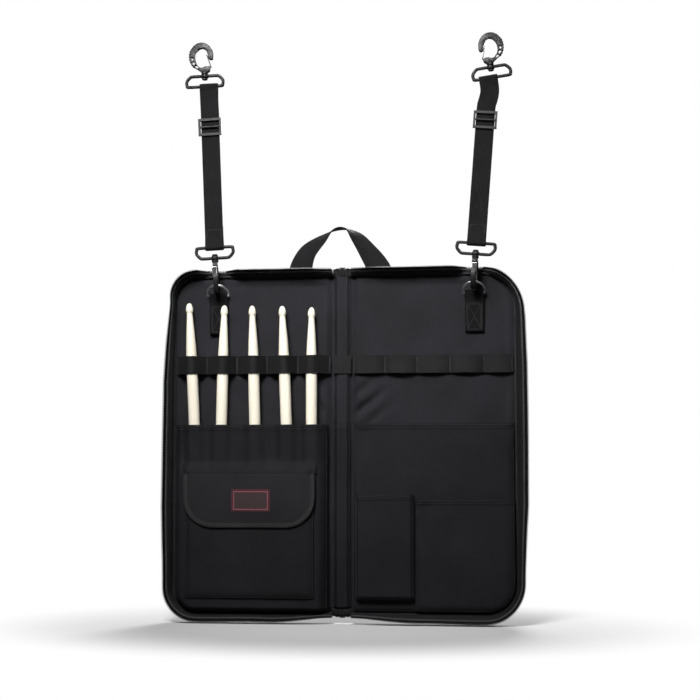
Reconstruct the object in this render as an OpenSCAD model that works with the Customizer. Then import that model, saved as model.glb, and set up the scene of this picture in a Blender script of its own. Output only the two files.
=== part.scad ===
// Zip-round drum stick bag, open like a book and hung by two clip straps.
// Millimetres. +Z is up, +X is to the right and the lining faces -Y.
// The origin lies on the line through the seats of the two upper hooks,
// in the middle plane of the spine.

/* [Leaves] */
// Width of a leaf's flat panel
leaf_w = 212; // [190:1:240]
// Height of a leaf's flat panel
leaf_h = 442; // [430:1:480]
// Corner radius of the panel
corner_r = 34; // [20:1:50]
// Thickness of the outer fabric
shell_t = 1; // [0.8:0.1:1.6]
// Thickness of the stiffening board
board_t = 1.2; // [1:0.1:2]
// Thickness of the foam
foam_t = 5; // [3:0.5:8]
// Thickness of the lining
lining_t = 0.8; // [0.6:0.1:1.2]
// Width of the spine between the two seams
spine_w = 25; // [22:1:34]

/* [Soft rim and zip] */
// How far the soft wall stands forward of the lining
rim_rise = 20; // [14:0.5:20.5]
// How far the wall leans out at the side
side_splay = 16; // [12:0.5:20]
// How far the wall leans out along the top
top_splay = 11; // [9:0.5:16]
// How far the wall leans out along the bottom
bottom_splay = 19; // [14:0.5:22]
// Thickness of the wall's fabric
wall_t = 1.6; // [1.2:0.1:2.2]
// Share of the wall's slope that is fabric, the rest being zip tape
wall_share = 0.7; // [0.6:0.05:0.8]
// Radius of the piping
piping_r = 1.6; // [1.2:0.1:2]

/* [Sticks and loops] */
// Diameter of a stick
stick_d = 15; // [13:0.5:16]
// Length of a stick
stick_l = 391; // [370:1:397]
// Diameter of a stick's tip
tip_d = 9.6; // [8:0.2:11]
// Width of the elastic band
band_w = 24; // [20:1:30]
// Thickness of the elastic band
band_t = 1.2; // [1:0.1:2]
// Height of the empty loops' inside
slack_h = 5.4; // [5:0.2:7]

/* [Pockets] */
// Thickness of the pocket cloth
cloth_t = 1; // [0.8:0.1:1.4]
// Height of the pockets' upper edge above the leaf's middle
pocket_top = 20; // [0:1:40]
// Inside depth of a flat pocket
flat_gap = 4.4; // [4.2:0.1:5]
// Upper edge of the flap pocket, below the leaf's middle
flap_z = 44.5; // [36:0.5:60]
// Height of the flap
flap_h = 71; // [60:1:80]
// Width of the flap
flap_w = 173; // [150:1:180]
// Thickness of the flap
flap_t = 1.3; // [1:0.1:2]
// Upper edge of the middle pocket, below the leaf's middle
middle_z = 78.5; // [70:0.5:100]
// Width of the small box pocket
box_w = 78; // [60:1:84]
// Height of the small box pocket
box_h = 138; // [120:1:142]
// Inside depth of the small box pocket
box_gap = 9; // [6:0.5:9]

/* [Straps and clips] */
// Distance of the left ring from the spine's middle
left_ring_x = 168; // [150:1:180]
// Distance of the right ring from the spine's middle
right_ring_x = 177; // [150:1:180]
// Lean of the left strap, in degrees
left_lean = -2.5; // [-6:0.1:0]
// Lean of the right strap, in degrees
right_lean = 4.5; // [0:0.1:6]
// Lean of the left upper clip, in degrees
left_clip_lean = -1.5; // [-8:0.5:0]
// Lean of the right upper clip, in degrees
right_clip_lean = -8; // [-9:0.5:0]
// How far the straps have slid inwards along the upper loops' bars
strap_shift = 5.5; // [0:0.5:6]
// Width of the webbing
web_w = 25; // [20:1:26]
// Thickness of the webbing
web_t = 1.5; // [1.2:0.1:2]
// Webbing length between the two loops' bars
web_span = 222; // [200:1:240]
// Distance of the strap slider below the upper bar
slider_drop = 57; // [45:1:80]
// Wire diameter of the rings
ring_wire = 3; // [2.4:0.1:3.4]
// Width inside the rings
ring_in = 26; // [25:0.5:30]
// Thickness of a clip's body
clip_t = 6.5; // [5:0.1:7]
// Diameter of a clip's swivel post
post_d = 5; // [4:0.1:6]
// Clearance between moving pieces
gap = 0.3; // [0.2:0.05:0.5]

/* [Handle] */
// Thickness of the handle's webbing
handle_t = 2; // [1.5:0.1:2.6]
// Width of the handle's webbing
handle_w = 27; // [22:1:30]

/* [Hidden] */
$fn = 32;

black = [0.1, 0.1, 0.11];
cloth = [0.14, 0.14, 0.15];
web_black = [0.12, 0.12, 0.12];
plastic = [0.08, 0.08, 0.09];
steel = [0.75, 0.75, 0.78];
wood = [0.95, 0.88, 0.76];
red = [0.55, 0.08, 0.1];

// Places that follow from the sizes
clip_seat = 39;                     // from a clip's swivel to the inside of its bend
clip_back = 20.5;                   // reach of a clip behind its swivel axis
bend_x = 3.5;                       // the middle of the bend, behind the swivel axis
loop_drop = 14;                     // from a loop's swivel bar to its webbing bar
bar_r = 2.25;                       // radius of a loop's webbing bar
eye_h = 5;                          // height of a loop's swivel eye
wire_gap = 0.8;                     // play between a ring's wire and the clip's bend
lining_y = clip_back + 1.5;         // front of the lining
back_y = lining_y + lining_t + foam_t + board_t + shell_t;
ring_arc = ring_in / 2 + ring_wire / 2;
ring_reach = 19.5;                  // from a ring's bar to the middle of its arc
bar_y = lining_y - ring_wire / 2 - web_t - gap - 0.2;
wire_y = bend_x;
ring_tilt = asin((bar_y - wire_y) / ring_reach);
chain = clip_seat - ring_wire / 2 - wire_gap + loop_drop + web_span;
contact_z = -(chain * cos(left_lean) + (loop_drop + clip_seat) * cos(left_clip_lean)
    + strap_shift * sin(left_clip_lean));
bar_z = contact_z - ring_reach * cos(ring_tilt);
leaf_z = bar_z - 195;
seam_x = spine_w / 2;
fit_gap = 0.15;                     // half the gap beside a seam
stick_y = lining_y - stick_d / 2 - 2;
loop_front = stick_d + 2 + gap;
pocket_depth = loop_front + cloth_t;
flap_pocket_depth = pocket_depth + flat_gap + cloth_t;
upper_depth = flat_gap + cloth_t;
middle_depth = upper_depth + flat_gap + cloth_t;
box_depth = upper_depth + box_gap + cloth_t;
margin = 2.5;                       // lining left free round the pockets
tab_h = 52;
flap_x = seam_x + 22.3;             // inner side of the flap
band_z = leaf_z + 100.5;            // middle of the elastic band
function at_share(k) = seam_x + k * leaf_w;
// For each stick: its place as a share of the leaf's width, its lean, and the butt's height above the edge
sticks = [[0.8976, 3.0, 14.95], [0.6967, -1.05, 11.25], [0.5, 1.65, 10.35], [0.3033, 2.3, 9.55],
          [0.1292, 0.1, 6.95]];
left_seams = [seam_x + leaf_w - margin, at_share(0.8066), at_share(0.6132), at_share(0.4198),
    at_share(0.2217), seam_x + 3];
right_seams = [seam_x + 3, at_share(0.2146), at_share(0.4165), at_share(0.6226), at_share(0.8344),
    seam_x + leaf_w - margin];

function smooth(t) = let (c = min(1, max(0, t))) c * c * (3 - 2 * c);
function mix(a, b, t) = a + (b - a) * t;

// ---- helpers ----------------------------------------------------------

// A slab of the outline drawn by the children, between two depths
module slab(y0, y1) {
    translate([0, y1, 0]) rotate([90, 0, 0]) linear_extrude(y1 - y0) children();
}

module left() mirror([1, 0, 0]) children();

// A swept solid through rings of equally many points
module sweep(rings) {
    n = len(rings[0]);
    m = len(rings);
    sides = [for (i = [0:m - 2], j = [0:n - 1])
        let (k = (j + 1) % n, a = i * n + j, b = i * n + k, c = b + n, d = a + n)
        each [[a, b, c], [a, c, d]]];
    caps = [[for (j = [n - 1:-1:0]) j], [for (j = [0:n - 1]) (m - 1) * n + j]];
    polyhedron(points = [for (r = rings) each r], faces = concat(sides, caps));
}

// The panel's outline: square at the seam, round at the outer corners
module panel_outline() {
    translate([seam_x + fit_gap, leaf_z - leaf_h / 2]) {
        square([leaf_w - corner_r, leaf_h]);
        translate([0, corner_r]) square([leaf_w - fit_gap, leaf_h - 2 * corner_r]);
        for (v = [corner_r, leaf_h - corner_r])
            translate([leaf_w - fit_gap - corner_r, v]) circle(r = corner_r, $fn = 64);
    }
}

module panel(y0, y1) slab(y0, y1) panel_outline();

// ---- soft wall, zip and piping ------------------------------------------

// Stations round the three free sides of a leaf: [u, v, normal u, normal v]
edge_path = let (s = leaf_w - corner_r, t = leaf_h / 2 - corner_r) concat(
    [for (i = [0:18]) [s * i / 18, leaf_h / 2, 0, 1]],
    [for (a = [80:-10:10]) [s + corner_r * cos(a), t + corner_r * sin(a), cos(a), sin(a)]],
    [for (i = [0:5]) [leaf_w, t - 2 * t * i / 5, 1, 0]],
    [for (a = [-10:-10:-80]) [s + corner_r * cos(a), -t + corner_r * sin(a), cos(a), sin(a)]],
    [for (i = [8:-1:0]) [s * i / 8, -leaf_h / 2, 0, -1]]);

function spine_taper(p) = mix(0.5, 1, smooth(p[0] / 70));
function splay(p) = spine_taper(p) * (p[3] > 0 ? mix(side_splay, top_splay, p[3])
    : mix(side_splay, bottom_splay, -p[3]));
// The strap presses the wall flat where it crosses the upper edge
function pressed(p, ring_x) = p[3] < 0.9 ? 0
    : 1 - smooth((abs(p[0] + seam_x - ring_x) - 8) / 22);
function rise(p, ring_x) = rim_rise * mix(0.6, 1, smooth(p[0] / 40)) * (1 - 1.12 * pressed(p, ring_x));

// A point of the wall's section: share f up the slope, t behind its face
function wall_point(p, ring_x, f, t) = let (
    s = splay(p), r = rise(p, ring_x), l = sqrt(s * s + r * r),
    o = gap + f * s + t * r / l, y = lining_y - f * r + t * s / l)
    [seam_x + p[0] + o * p[2], y, leaf_z + p[1] + o * p[3]];
// A point of the part of the wall that covers the panel's side
function side_point(p, o, y) = [seam_x + p[0] + o * p[2], y, leaf_z + p[1] + o * p[3]];

module soft_wall(ring_x) {
    color(cloth) sweep([for (p = edge_path) [
        side_point(p, gap, back_y - gap),
        side_point(p, gap, lining_y),
        wall_point(p, ring_x, wall_share, 0),
        wall_point(p, ring_x, wall_share, wall_t),
        side_point(p, gap + wall_t, lining_y + 1),
        side_point(p, gap + wall_t, back_y - gap)]]);
}

module zip_half(ring_x) {
    f = wall_share + 0.01;
    color(black) sweep([for (p = edge_path) [
        wall_point(p, ring_x, f, 0.2),
        wall_point(p, ring_x, 1, -0.5),
        wall_point(p, ring_x, 1, 2),
        wall_point(p, ring_x, f, 1.3)]]);
}

module piping() {
    color(black) sweep([for (p = edge_path) [for (a = [0:45:315])
        side_point(p, gap + piping_r + piping_r * cos(a), back_y + piping_r + piping_r * sin(a))]]);
}

// ---- stick loops ----------------------------------------------------------

// Height of the band over a place x, for loops between seams round centres
function loop_height(x, seams, centres, half, h) = max([for (i = [0:len(centres) - 1])
    let (a = min(seams[i], seams[i + 1]), b = max(seams[i], seams[i + 1]), c = centres[i])
    x < a || x > b ? 0
        : x < c - half ? h * smooth((x - a - 1.5) / (c - half - a - 1.5))
        : x > c + half ? h * smooth((b - 1.5 - x) / (b - 1.5 - c - half)) : h]);

module stick_loops(seams, centres, half, h) {
    x0 = min(seams);
    x1 = max(seams);
    steps = 96;
    xs = [for (i = [0:steps]) x0 + (x1 - x0) * i / steps];
    top = [for (x = xs) [x, -loop_height(x, seams, centres, half, h) - band_t]];
    under = [for (i = [steps:-1:0]) [xs[i], -loop_height(xs[i], seams, centres, half, h)]];
    color(web_black) translate([0, lining_y, band_z - band_w / 2])
        linear_extrude(band_w) polygon(concat(top, under));
}

module spine_cover() color(cloth) translate([fit_gap - seam_x, lining_y - cloth_t, leaf_z - leaf_h / 2])
    cube([spine_w - 2 * fit_gap, cloth_t, leaf_h / 2 + pocket_top + 1.5]);

module spine_band() color(web_black)
    translate([fit_gap - seam_x, lining_y - band_t, band_z - band_w / 2])
        cube([spine_w - 2 * fit_gap, band_t, band_w]);

// ---- pockets ----------------------------------------------------------------

// Front outline of a pocket, kept m inside the panel and c inside its own edges
module pocket_outline(x0, x1, z0, z1, m, c) intersection() {
    translate([x0 + c, z0 + c]) square([x1 - x0 - 2 * c, z1 - z0]);
    union() {
        translate([seam_x, -leaf_h / 2 + m]) square([leaf_w - corner_r, leaf_h]);
        translate([seam_x, corner_r - leaf_h / 2]) square([leaf_w - m, leaf_h]);
        translate([seam_x + leaf_w - corner_r, corner_r - leaf_h / 2]) circle(r = corner_r - m, $fn = 64);
    }
}

// A pocket open at the top: x from the spine's middle, z from the leaf's middle
module pocket(x0, x1, z0, z1, y_back, depth) color(cloth) translate([0, 0, leaf_z]) difference() {
    slab(y_back - depth, y_back) intersection() {
        pocket_outline(x0, x1, z0, z1, margin, 0);
        translate([0, z0]) square([400, z1 - z0]);
    }
    slab(y_back - depth + cloth_t, y_back + 1) pocket_outline(x0, x1, z0, z1, margin + cloth_t, cloth_t);
}

pocket_in = seam_x + margin;
pocket_out = seam_x + leaf_w - margin;
pocket_low = -leaf_h / 2 + margin;
flap_mouth = -flap_z - 9;          // the flap pocket's upper edge, under the flap

module stick_pocket() left() {
    pocket(pocket_in + 3, pocket_out, pocket_low, pocket_top, lining_y, pocket_depth);
    // padded strip to which the flap is sewn
    color(cloth) translate([flap_x - 1, lining_y - pocket_depth, leaf_z - flap_z]) rotate([90, 0, 90])
        linear_extrude(flap_w + 2) polygon([[0.5, 0], [-flat_gap - cloth_t, 0], [-flat_gap - cloth_t, 1.5],
            [0, 10], [0.5, 10]]);
}
module flap_pocket() left() pocket(flap_x, flap_x + flap_w, pocket_low + 9, flap_mouth,
    lining_y - pocket_depth, flat_gap + cloth_t);
module upper_pocket() pocket(pocket_in, pocket_out, pocket_low, pocket_top + 1.5, lining_y, upper_depth);
module middle_pocket() pocket(pocket_in + box_w + 5, pocket_out, pocket_low, -middle_z,
    lining_y - upper_depth, flat_gap + cloth_t);
module box_pocket() pocket(pocket_in + 4, pocket_in + 4 + box_w, -box_h - 73, -73,
    lining_y - upper_depth, box_gap + cloth_t);

// ---- flap -----------------------------------------------------------------

flap_back = lining_y - flap_pocket_depth - gap;
flap_top = leaf_z - flap_z;
flap_r = 34;

module flap() color(cloth) left() slab(flap_back - flap_t, flap_back) {
    translate([flap_x - 1, flap_top - flap_h + flap_r]) square([flap_w + 2, flap_h - flap_r]);
    translate([flap_x - 1 + flap_r, flap_top - flap_h]) square([flap_w + 2 - 2 * flap_r, flap_r + 1]);
    for (x = [flap_x - 1 + flap_r, flap_x + 1 + flap_w - flap_r])
        translate([x, flap_top - flap_h + flap_r]) circle(r = flap_r, $fn = 64);
}

module label_patch() color(red) left()
    translate([92, flap_back - flap_t - 0.5, leaf_z - 95.6]) cube([52.5, 0.5, 30.6]);

// ---- spine, handle and zip sliders ---------------------------------------------

spine_top = 5.5;       // the spine's cloth reaches this far above the panels
spine_bottom = 9.5;    // and this far below them
module spine_slab(y0, y1, above, below) slab(y0, y1)
    translate([fit_gap - seam_x, leaf_z - leaf_h / 2 - below])
        square([spine_w - 2 * fit_gap, leaf_h + above + below]);

// The handle's line from the left leaf's back over the spine to the right one's:
// x, y behind the shell, z above the panels' upper edge, turn of the webbing
handle_line = [[-57, 1.4, -46, 0], [-57, 1.4, -24, 0], [-57.5, 5.4, 2, 0], [-55.5, 6.4, 16, 8],
    [-46, 8, 35, 26], [-30, 9.5, 52, 52], [-13, 10.5, 65, 84], [4, 10.5, 66, 84], [18, 9.5, 55, 52],
    [33, 8, 35, 26], [46, 6.4, 15, 8], [51, 5.4, 2, 0], [51.5, 1.4, -24, 0], [51.5, 1.4, -46, 0]];

function spline(p, i, t) = let (n = len(p) - 1,
    a = p[max(0, i - 1)], b = p[i], c = p[min(n, i + 1)], d = p[min(n, i + 2)])
    0.5 * (2 * b + (c - a) * t + (2 * a - 5 * b + 4 * c - d) * t * t + (3 * b - a - 3 * c + d) * t * t * t);

module handle() {
    fine = [for (i = [0:len(handle_line) - 2], k = [0:2]) spline(handle_line, i, k / 3),
        handle_line[len(handle_line) - 1]];
    last = len(fine) - 1;
    color(web_black) translate([0, back_y, leaf_z + leaf_h / 2]) sweep([for (i = [0:last]) let (
        q = fine[i],
        d = fine[min(last, i + 1)] - fine[max(0, i - 1)],
        along = [d[0], d[1], d[2]] / norm([d[0], d[1], d[2]]),
        flat_side = cross(along, [0, 1, 0]) / norm(cross(along, [0, 1, 0])),
        across = flat_side * cos(q[3]) + cross(along, flat_side) * -sin(q[3]),
        face = cross(along, across),
        w = across * handle_w / 2, f = face * handle_t / 2, c = [q[0], q[1], q[2]])
        [c - w - f, c + w - f, c + w + f, c - w + f]]);
}

// The zip's slider rests at its upper end and its stop at the lower one, both beside the spine's ends
slider_z = leaf_z + leaf_h / 2 + spine_top + gap + 2.5;
pull_y = back_y + 2.5;
module zip_slider() color(steel) translate([0, 0, slider_z]) {
    translate([-4, lining_y + 2, -2.5]) cube([8, back_y - lining_y - 2, 5]);
    for (x = [-3, 1.8]) translate([x, back_y - 1, -1.2]) cube([1.2, 4.5, 2.4]);
    translate([-2.4, pull_y, 0]) rotate([0, 90, 0]) cylinder(r = 0.7, h = 4.8);
}
module zip_pull() color(steel) translate([0, pull_y, slider_z]) difference() {
    union() {
        translate([-1.6, 0, 0]) rotate([0, 90, 0]) cylinder(r = 1.9, h = 3.2);
        translate([-1.6, -0.6, -8]) cube([3.2, 1.2, 7.5]);
        translate([-2.6, -0.6, -27]) cube([5.2, 1.2, 20]);
    }
    translate([-3, 0, 0]) rotate([0, 90, 0]) cylinder(r = 0.7 + gap, h = 6);
}
module zip_end_stop() color(steel)
    translate([-4, lining_y + 2, leaf_z - leaf_h / 2 - spine_bottom - gap - 4]) cube([8, 5, 4]);

// ---- tabs and rings ------------------------------------------------------------

// Webbing tab folded round a ring's bar: bar at the origin, sewn part downwards
module tab(drop, back) color(web_black) translate([-web_w / 2, 0, 0]) rotate([90, 0, 90])
    linear_extrude(web_w) difference() {
        union() {
            circle(r = ring_wire / 2 + gap + web_t);
            translate([back - 2 * web_t, -drop]) square([2 * web_t, drop]);
            polygon([[-ring_wire / 2 - gap - web_t, 0], [back - 2 * web_t, -9], [back, -9], [back, 0]]);
        }
        circle(r = ring_wire / 2 + gap);
    }

// Round bar from a to b
module rod(a, b, r) {
    d = b - a;
    translate(a) rotate([0, acos(d[2] / norm(d)), atan2(d[1], d[0])]) cylinder(r = r, h = norm(d));
}

// D ring: bar along X at the origin, arc upwards
module ring_shape() color(steel) {
    w = ring_wire / 2;
    leg = ring_reach - ring_arc;
    rotate([0, 90, 0]) translate([0, 0, -ring_arc]) cylinder(r = w, h = 2 * ring_arc);
    for (s = [-1, 1]) {
        translate([s * ring_arc, 0, 0]) sphere(r = w);
        translate([s * ring_arc, 0, 0]) cylinder(r = w, h = leg);
    }
    translate([0, 0, leg]) rotate([90, 0, 0]) rotate_extrude(angle = 180, $fn = 48)
        translate([ring_arc, 0]) circle(r = w, $fn = 16);
}

module ring_at(x) translate([x, bar_y, bar_z]) rotate([ring_tilt, 0, 0]) ring_shape();
module tab_at(x) translate([x, bar_y, bar_z]) tab(tab_h, lining_y - bar_y);

// Two small tabs on the right leaf's back carry rings for a shoulder strap
back_bar_y = back_y + 2 * piping_r + ring_wire / 2 + 0.4;
back_x = right_ring_x - 2;
back_low_z = leaf_z - leaf_h / 2 + 2.5;
back_high_z = leaf_z + leaf_h / 2 - 40;
module back_tabs() for (z = [back_low_z, back_high_z])
    translate([back_x, back_bar_y, z]) rotate([180, 0, 0]) tab(34, back_bar_y - back_y);
module back_ring(z) translate([back_x, back_bar_y, z]) rotate([180, 0, 0]) ring_shape();

// ---- clip, loop and gate ----------------------------------------------------------

// Points of an ellipse round c
function ellipse(c, a, b, n) =
    [for (i = [0:n - 1]) [c[0] + a * cos(360 * i / n), c[1] + b * sin(360 * i / n)]];

outer_c = [-4, 28];
outer_a = [16.5, 19];
inner_c = [-bend_x, 25.5];
inner_a = [9, 13.5];

// A clip's flat shape: swivel at the origin, bend upwards, mouth towards +X
module clip_shape() difference() {
    union() {
        difference() {
            union() {
                polygon(ellipse(outer_c, outer_a[0], outer_a[1], 48));
                for (a = [165:11:215])
                    translate([outer_c[0] + outer_a[0] * cos(a), outer_c[1] + outer_a[1] * sin(a)])
                    circle(r = 1.2, $fn = 12);
            }
            polygon(ellipse(inner_c, inner_a[0], inner_a[1], 48));
            translate([2.2, 8]) square([14, 18]);
        }
        polygon([[-7, 13], [-4.5, 5], [4.5, 5], [8.5, 9], [7.5, 13], [3, 13.5], [-2, 12.2]]);
    }
    translate([-11.5, 13.5]) rotate(48) scale(1) circle(r = 2.4, $fn = 24);
    translate([-14.8, 18]) circle(r = 1.8, $fn = 24);
    translate([-16.4, 22.6]) circle(r = 1.3, $fn = 24);
}

// The body with its swivel post, whose head is inside the loop
module clip_body() color(plastic) {
    translate([0, clip_t / 2, 0]) rotate([90, 0, 0]) linear_extrude(clip_t) clip_shape();
    translate([0, 0, eye_h / 2 + gap]) cylinder(r = 4.6, h = 6 - eye_h / 2);
    translate([0, 0, -eye_h / 2 - gap - 2]) cylinder(d = post_d, h = eye_h + 3);
    translate([0, 0, -eye_h / 2 - gap - 2]) cylinder(r = 3.8, h = 2);
}

// Spring gate: a leaf from the foot to the inside of the nose
gate_foot = [8.6, 13.6];
gate_tip = [3.4, 29.5];
module clip_gate() color(steel) {
    d = gate_tip - gate_foot;
    translate([gate_foot[0], 3, gate_foot[1]]) rotate([90, 0, 0]) {
        rotate(atan2(d[1], d[0])) translate([0, -0.45]) linear_extrude(6) square([norm(d), 0.9]);
        cylinder(r = 1, h = 6);
    }
}

// Oval loop below a clip: swivel eye at the origin, round webbing bar at -loop_drop
loop_half = 27.5;
loop_wire = 2 * bar_r;
// The loop's outline, wide at the webbing bar and narrow at the swivel, and its hole
module loop_outline(d, low) {
    half = loop_half - d;
    high = 2.6 - d;
    polygon([[3 - half, -low], [half - 3, -low], [half - 0.8, 2.2 - low], [half, 5.5 - low],
        [half - 1, 9 - low], [half - 5, high - 1], [half - 8, high], [8 - half, high],
        [5 - half, high - 1], [1 - half, 9 - low], [-half, 5.5 - low], [0.8 - half, 2.2 - low]]);
}
module clip_loop() color(plastic) difference() {
    union() {
        slab(-bar_r, bar_r) difference() {
            loop_outline(0, loop_drop + bar_r);
            loop_outline(loop_wire, loop_drop - bar_r);
            translate([-20, -loop_drop - 2 * bar_r]) square([40, 4 * bar_r]);
        }
        translate([-21, 0, -loop_drop]) rotate([0, 90, 0]) cylinder(r = bar_r - 0.05, h = 42);
        translate([0, 0, -eye_h / 2]) cylinder(r = 5.4, h = eye_h);
    }
    translate([0, 0, -eye_h]) cylinder(r = post_d / 2 + 0.05, h = 2 * eye_h);
}

// ---- strap ---------------------------------------------------------------------------

wrap_r = bar_r + gap;

// One end of the webbing, folded round a bar at the origin and running up, in section
module web_end(run) union() {
    circle(r = wrap_r + web_t);
    polygon([[-wrap_r - web_t, 0], [-web_t, 12], [-web_t, run],
             [web_t, run], [web_t, 12], [wrap_r + web_t, 0]]);
}

// The webbing between the bars: folded round the upper bar and doubled to the slider
module strap(lean, top_lean) color(web_black) {
    difference() {
        union() {
            web_section() web_end(25);
            translate([-web_w / 2, -web_t, 20]) cube([web_w, web_t, web_span - 28]);
            translate([-web_w / 2, 0, web_span - slider_drop - 10]) cube([web_w, web_t, slider_drop + 2]);
            at_top(lean, top_lean) rotate([180, 0, 0]) web_section() web_end(15);
        }
        web_section() circle(r = wrap_r);
        at_top(lean, top_lean) web_section() circle(r = wrap_r);
    }
}
module web_section() translate([-web_w / 2, 0, 0]) rotate([90, 0, 90]) linear_extrude(web_w) children();
module at_top(lean, top_lean) translate([0, 0, web_span]) rotate([0, top_lean - lean, 0]) children();

// Three-bar slider in front of the webbing, with the webbing's sewn end round its middle bar
module strap_slider() {
    y = -web_t - gap;
    color(plastic) translate([0, y, web_span - slider_drop]) {
        slab(-3, 0) difference() {
            square([31.5, 23.5], center = true);
            square([26, 17], center = true);
        }
        translate([-14, -1.8, 0]) rotate([0, 90, 0]) cylinder(r = 1.6, h = 28);
    }
}

// ---- placing a strap with its clips -------------------------------------------------------

// Local frame of a strap's lower part: origin at the lower swivel, +Z along the strap
swivel_up = clip_seat - ring_wire / 2 - wire_gap;
module on_strap(x, lean)
    translate([x, 0, contact_z]) rotate([0, lean, 0]) translate([0, 0, swivel_up]) children();
module on_top(x, lean, top_lean, shift) on_strap(x, lean) translate([0, 0, loop_drop + web_span])
    rotate([0, top_lean - lean, 0]) translate([shift, 0, loop_drop]) children();
// A lower clip hangs with its mouth towards the viewer
module lower_clip() rotate([180, 0, 0]) rotate([0, 0, 90]) children();
module lower_loop() rotate([180, 0, 0]) clip_loop();

module left_upper() on_top(-left_ring_x, left_lean, left_clip_lean, -strap_shift) children();
module right_upper() on_top(right_ring_x, right_lean, right_clip_lean, strap_shift)
    mirror([1, 0, 0]) children();

// ---- sticks --------------------------------------------------------------------------------

// A stick: butt at the origin, tip upwards
module stick_shape() color(wood) rotate_extrude($fn = 32)
    polygon(concat([[0, 0], [stick_d / 2 - 2, 0], [stick_d / 2 - 0.6, 0.6], [stick_d / 2, 2]],
        [[stick_d / 2, stick_l * 0.7136], [tip_d / 2 - 1.4, stick_l - 14]],
        [for (a = [-60:20:90]) [max(0, tip_d / 2 * cos(a)), stick_l - 6.5 + 6.5 * sin(a)]]));

module stick(i) {
    s = sticks[i];
    translate([-at_share(s[0]), stick_y, band_z]) rotate([0, -s[1], 0])
        translate([0, 0, leaf_z - leaf_h / 2 + s[2] - band_z]) stick_shape();
}

// ---- nodes -----------------------------------------------------------------------------------

color(black) left() panel(back_y - shell_t, back_y);  // left_outer_shell
color("gray")  // left_board
    left() panel(lining_y + lining_t + foam_t, back_y - shell_t);
color("lightgray")  // left_foam
    left() panel(lining_y + lining_t, lining_y + lining_t + foam_t);
color(cloth) left() panel(lining_y, lining_y + lining_t);  // left_lining
left() soft_wall(left_ring_x);  // left_soft_wall
left() zip_half(left_ring_x);  // left_zip_half
left() piping();  // left_piping
left()  // left_stick_loops
    stick_loops(left_seams, [for (s = sticks) at_share(s[0])], stick_d / 2 + 1.5, loop_front);
stick_pocket();
flap_pocket();
tab_at(-left_ring_x);  // left_tab
flap();
label_patch();
color(black)  // spine_shell
    spine_slab(back_y - shell_t, back_y, spine_top, spine_bottom);
color("lightgray")  // spine_foam
    spine_slab(lining_y + lining_t, back_y - shell_t, 0, 0);
color(cloth) spine_slab(lining_y, lining_y + lining_t, 0, 0);  // spine_lining
spine_band();
spine_cover();
handle();
zip_slider();
zip_pull();
zip_end_stop();
color(black) panel(back_y - shell_t, back_y);  // right_outer_shell
color("gray")  // right_board
    panel(lining_y + lining_t + foam_t, back_y - shell_t);
color("lightgray")  // right_foam
    panel(lining_y + lining_t, lining_y + lining_t + foam_t);
color(cloth) panel(lining_y, lining_y + lining_t);  // right_lining
soft_wall(right_ring_x);  // right_soft_wall
zip_half(right_ring_x);  // right_zip_half
piping();  // right_piping
stick_loops(right_seams, [for (i = [0:4]) (right_seams[i] + right_seams[i + 1]) / 2], 6, slack_h);  // right_stick_loops
upper_pocket();
middle_pocket();
box_pocket();
tab_at(right_ring_x);  // right_tab
back_tabs();
back_ring(back_high_z);  // back_ring_top
back_ring(back_low_z);  // back_ring_bottom
ring_at(-left_ring_x);  // left_ring
on_strap(-left_ring_x, left_lean) lower_clip() clip_body();  // left_lower_clip
on_strap(-left_ring_x, left_lean) lower_clip() clip_gate();  // left_lower_gate
on_strap(-left_ring_x, left_lean) lower_loop();  // left_lower_loop
on_strap(-left_ring_x, left_lean) translate([0, 0, loop_drop])  // left_strap
    strap(left_lean, left_clip_lean);
on_strap(-left_ring_x, left_lean) translate([0, 0, loop_drop])  // left_strap_slider
    strap_slider();
left_upper() clip_loop();  // left_upper_loop
left_upper() clip_body();  // left_upper_clip
left_upper() clip_gate();  // left_upper_gate
ring_at(right_ring_x);  // right_ring
on_strap(right_ring_x, right_lean) lower_clip() clip_body();  // right_lower_clip
on_strap(right_ring_x, right_lean) lower_clip() clip_gate();  // right_lower_gate
on_strap(right_ring_x, right_lean) lower_loop();  // right_lower_loop
on_strap(right_ring_x, right_lean) translate([0, 0, loop_drop])  // right_strap
    strap(right_lean, right_clip_lean);
on_strap(right_ring_x, right_lean) translate([0, 0, loop_drop])  // right_strap_slider
    strap_slider();
right_upper() clip_loop();  // right_upper_loop
right_upper() clip_body();  // right_upper_clip
right_upper() clip_gate();  // right_upper_gate
stick(0);  // stick_1
stick(1);  // stick_2
stick(2);  // stick_3
stick(3);  // stick_4
stick(4);  // stick_5
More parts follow.
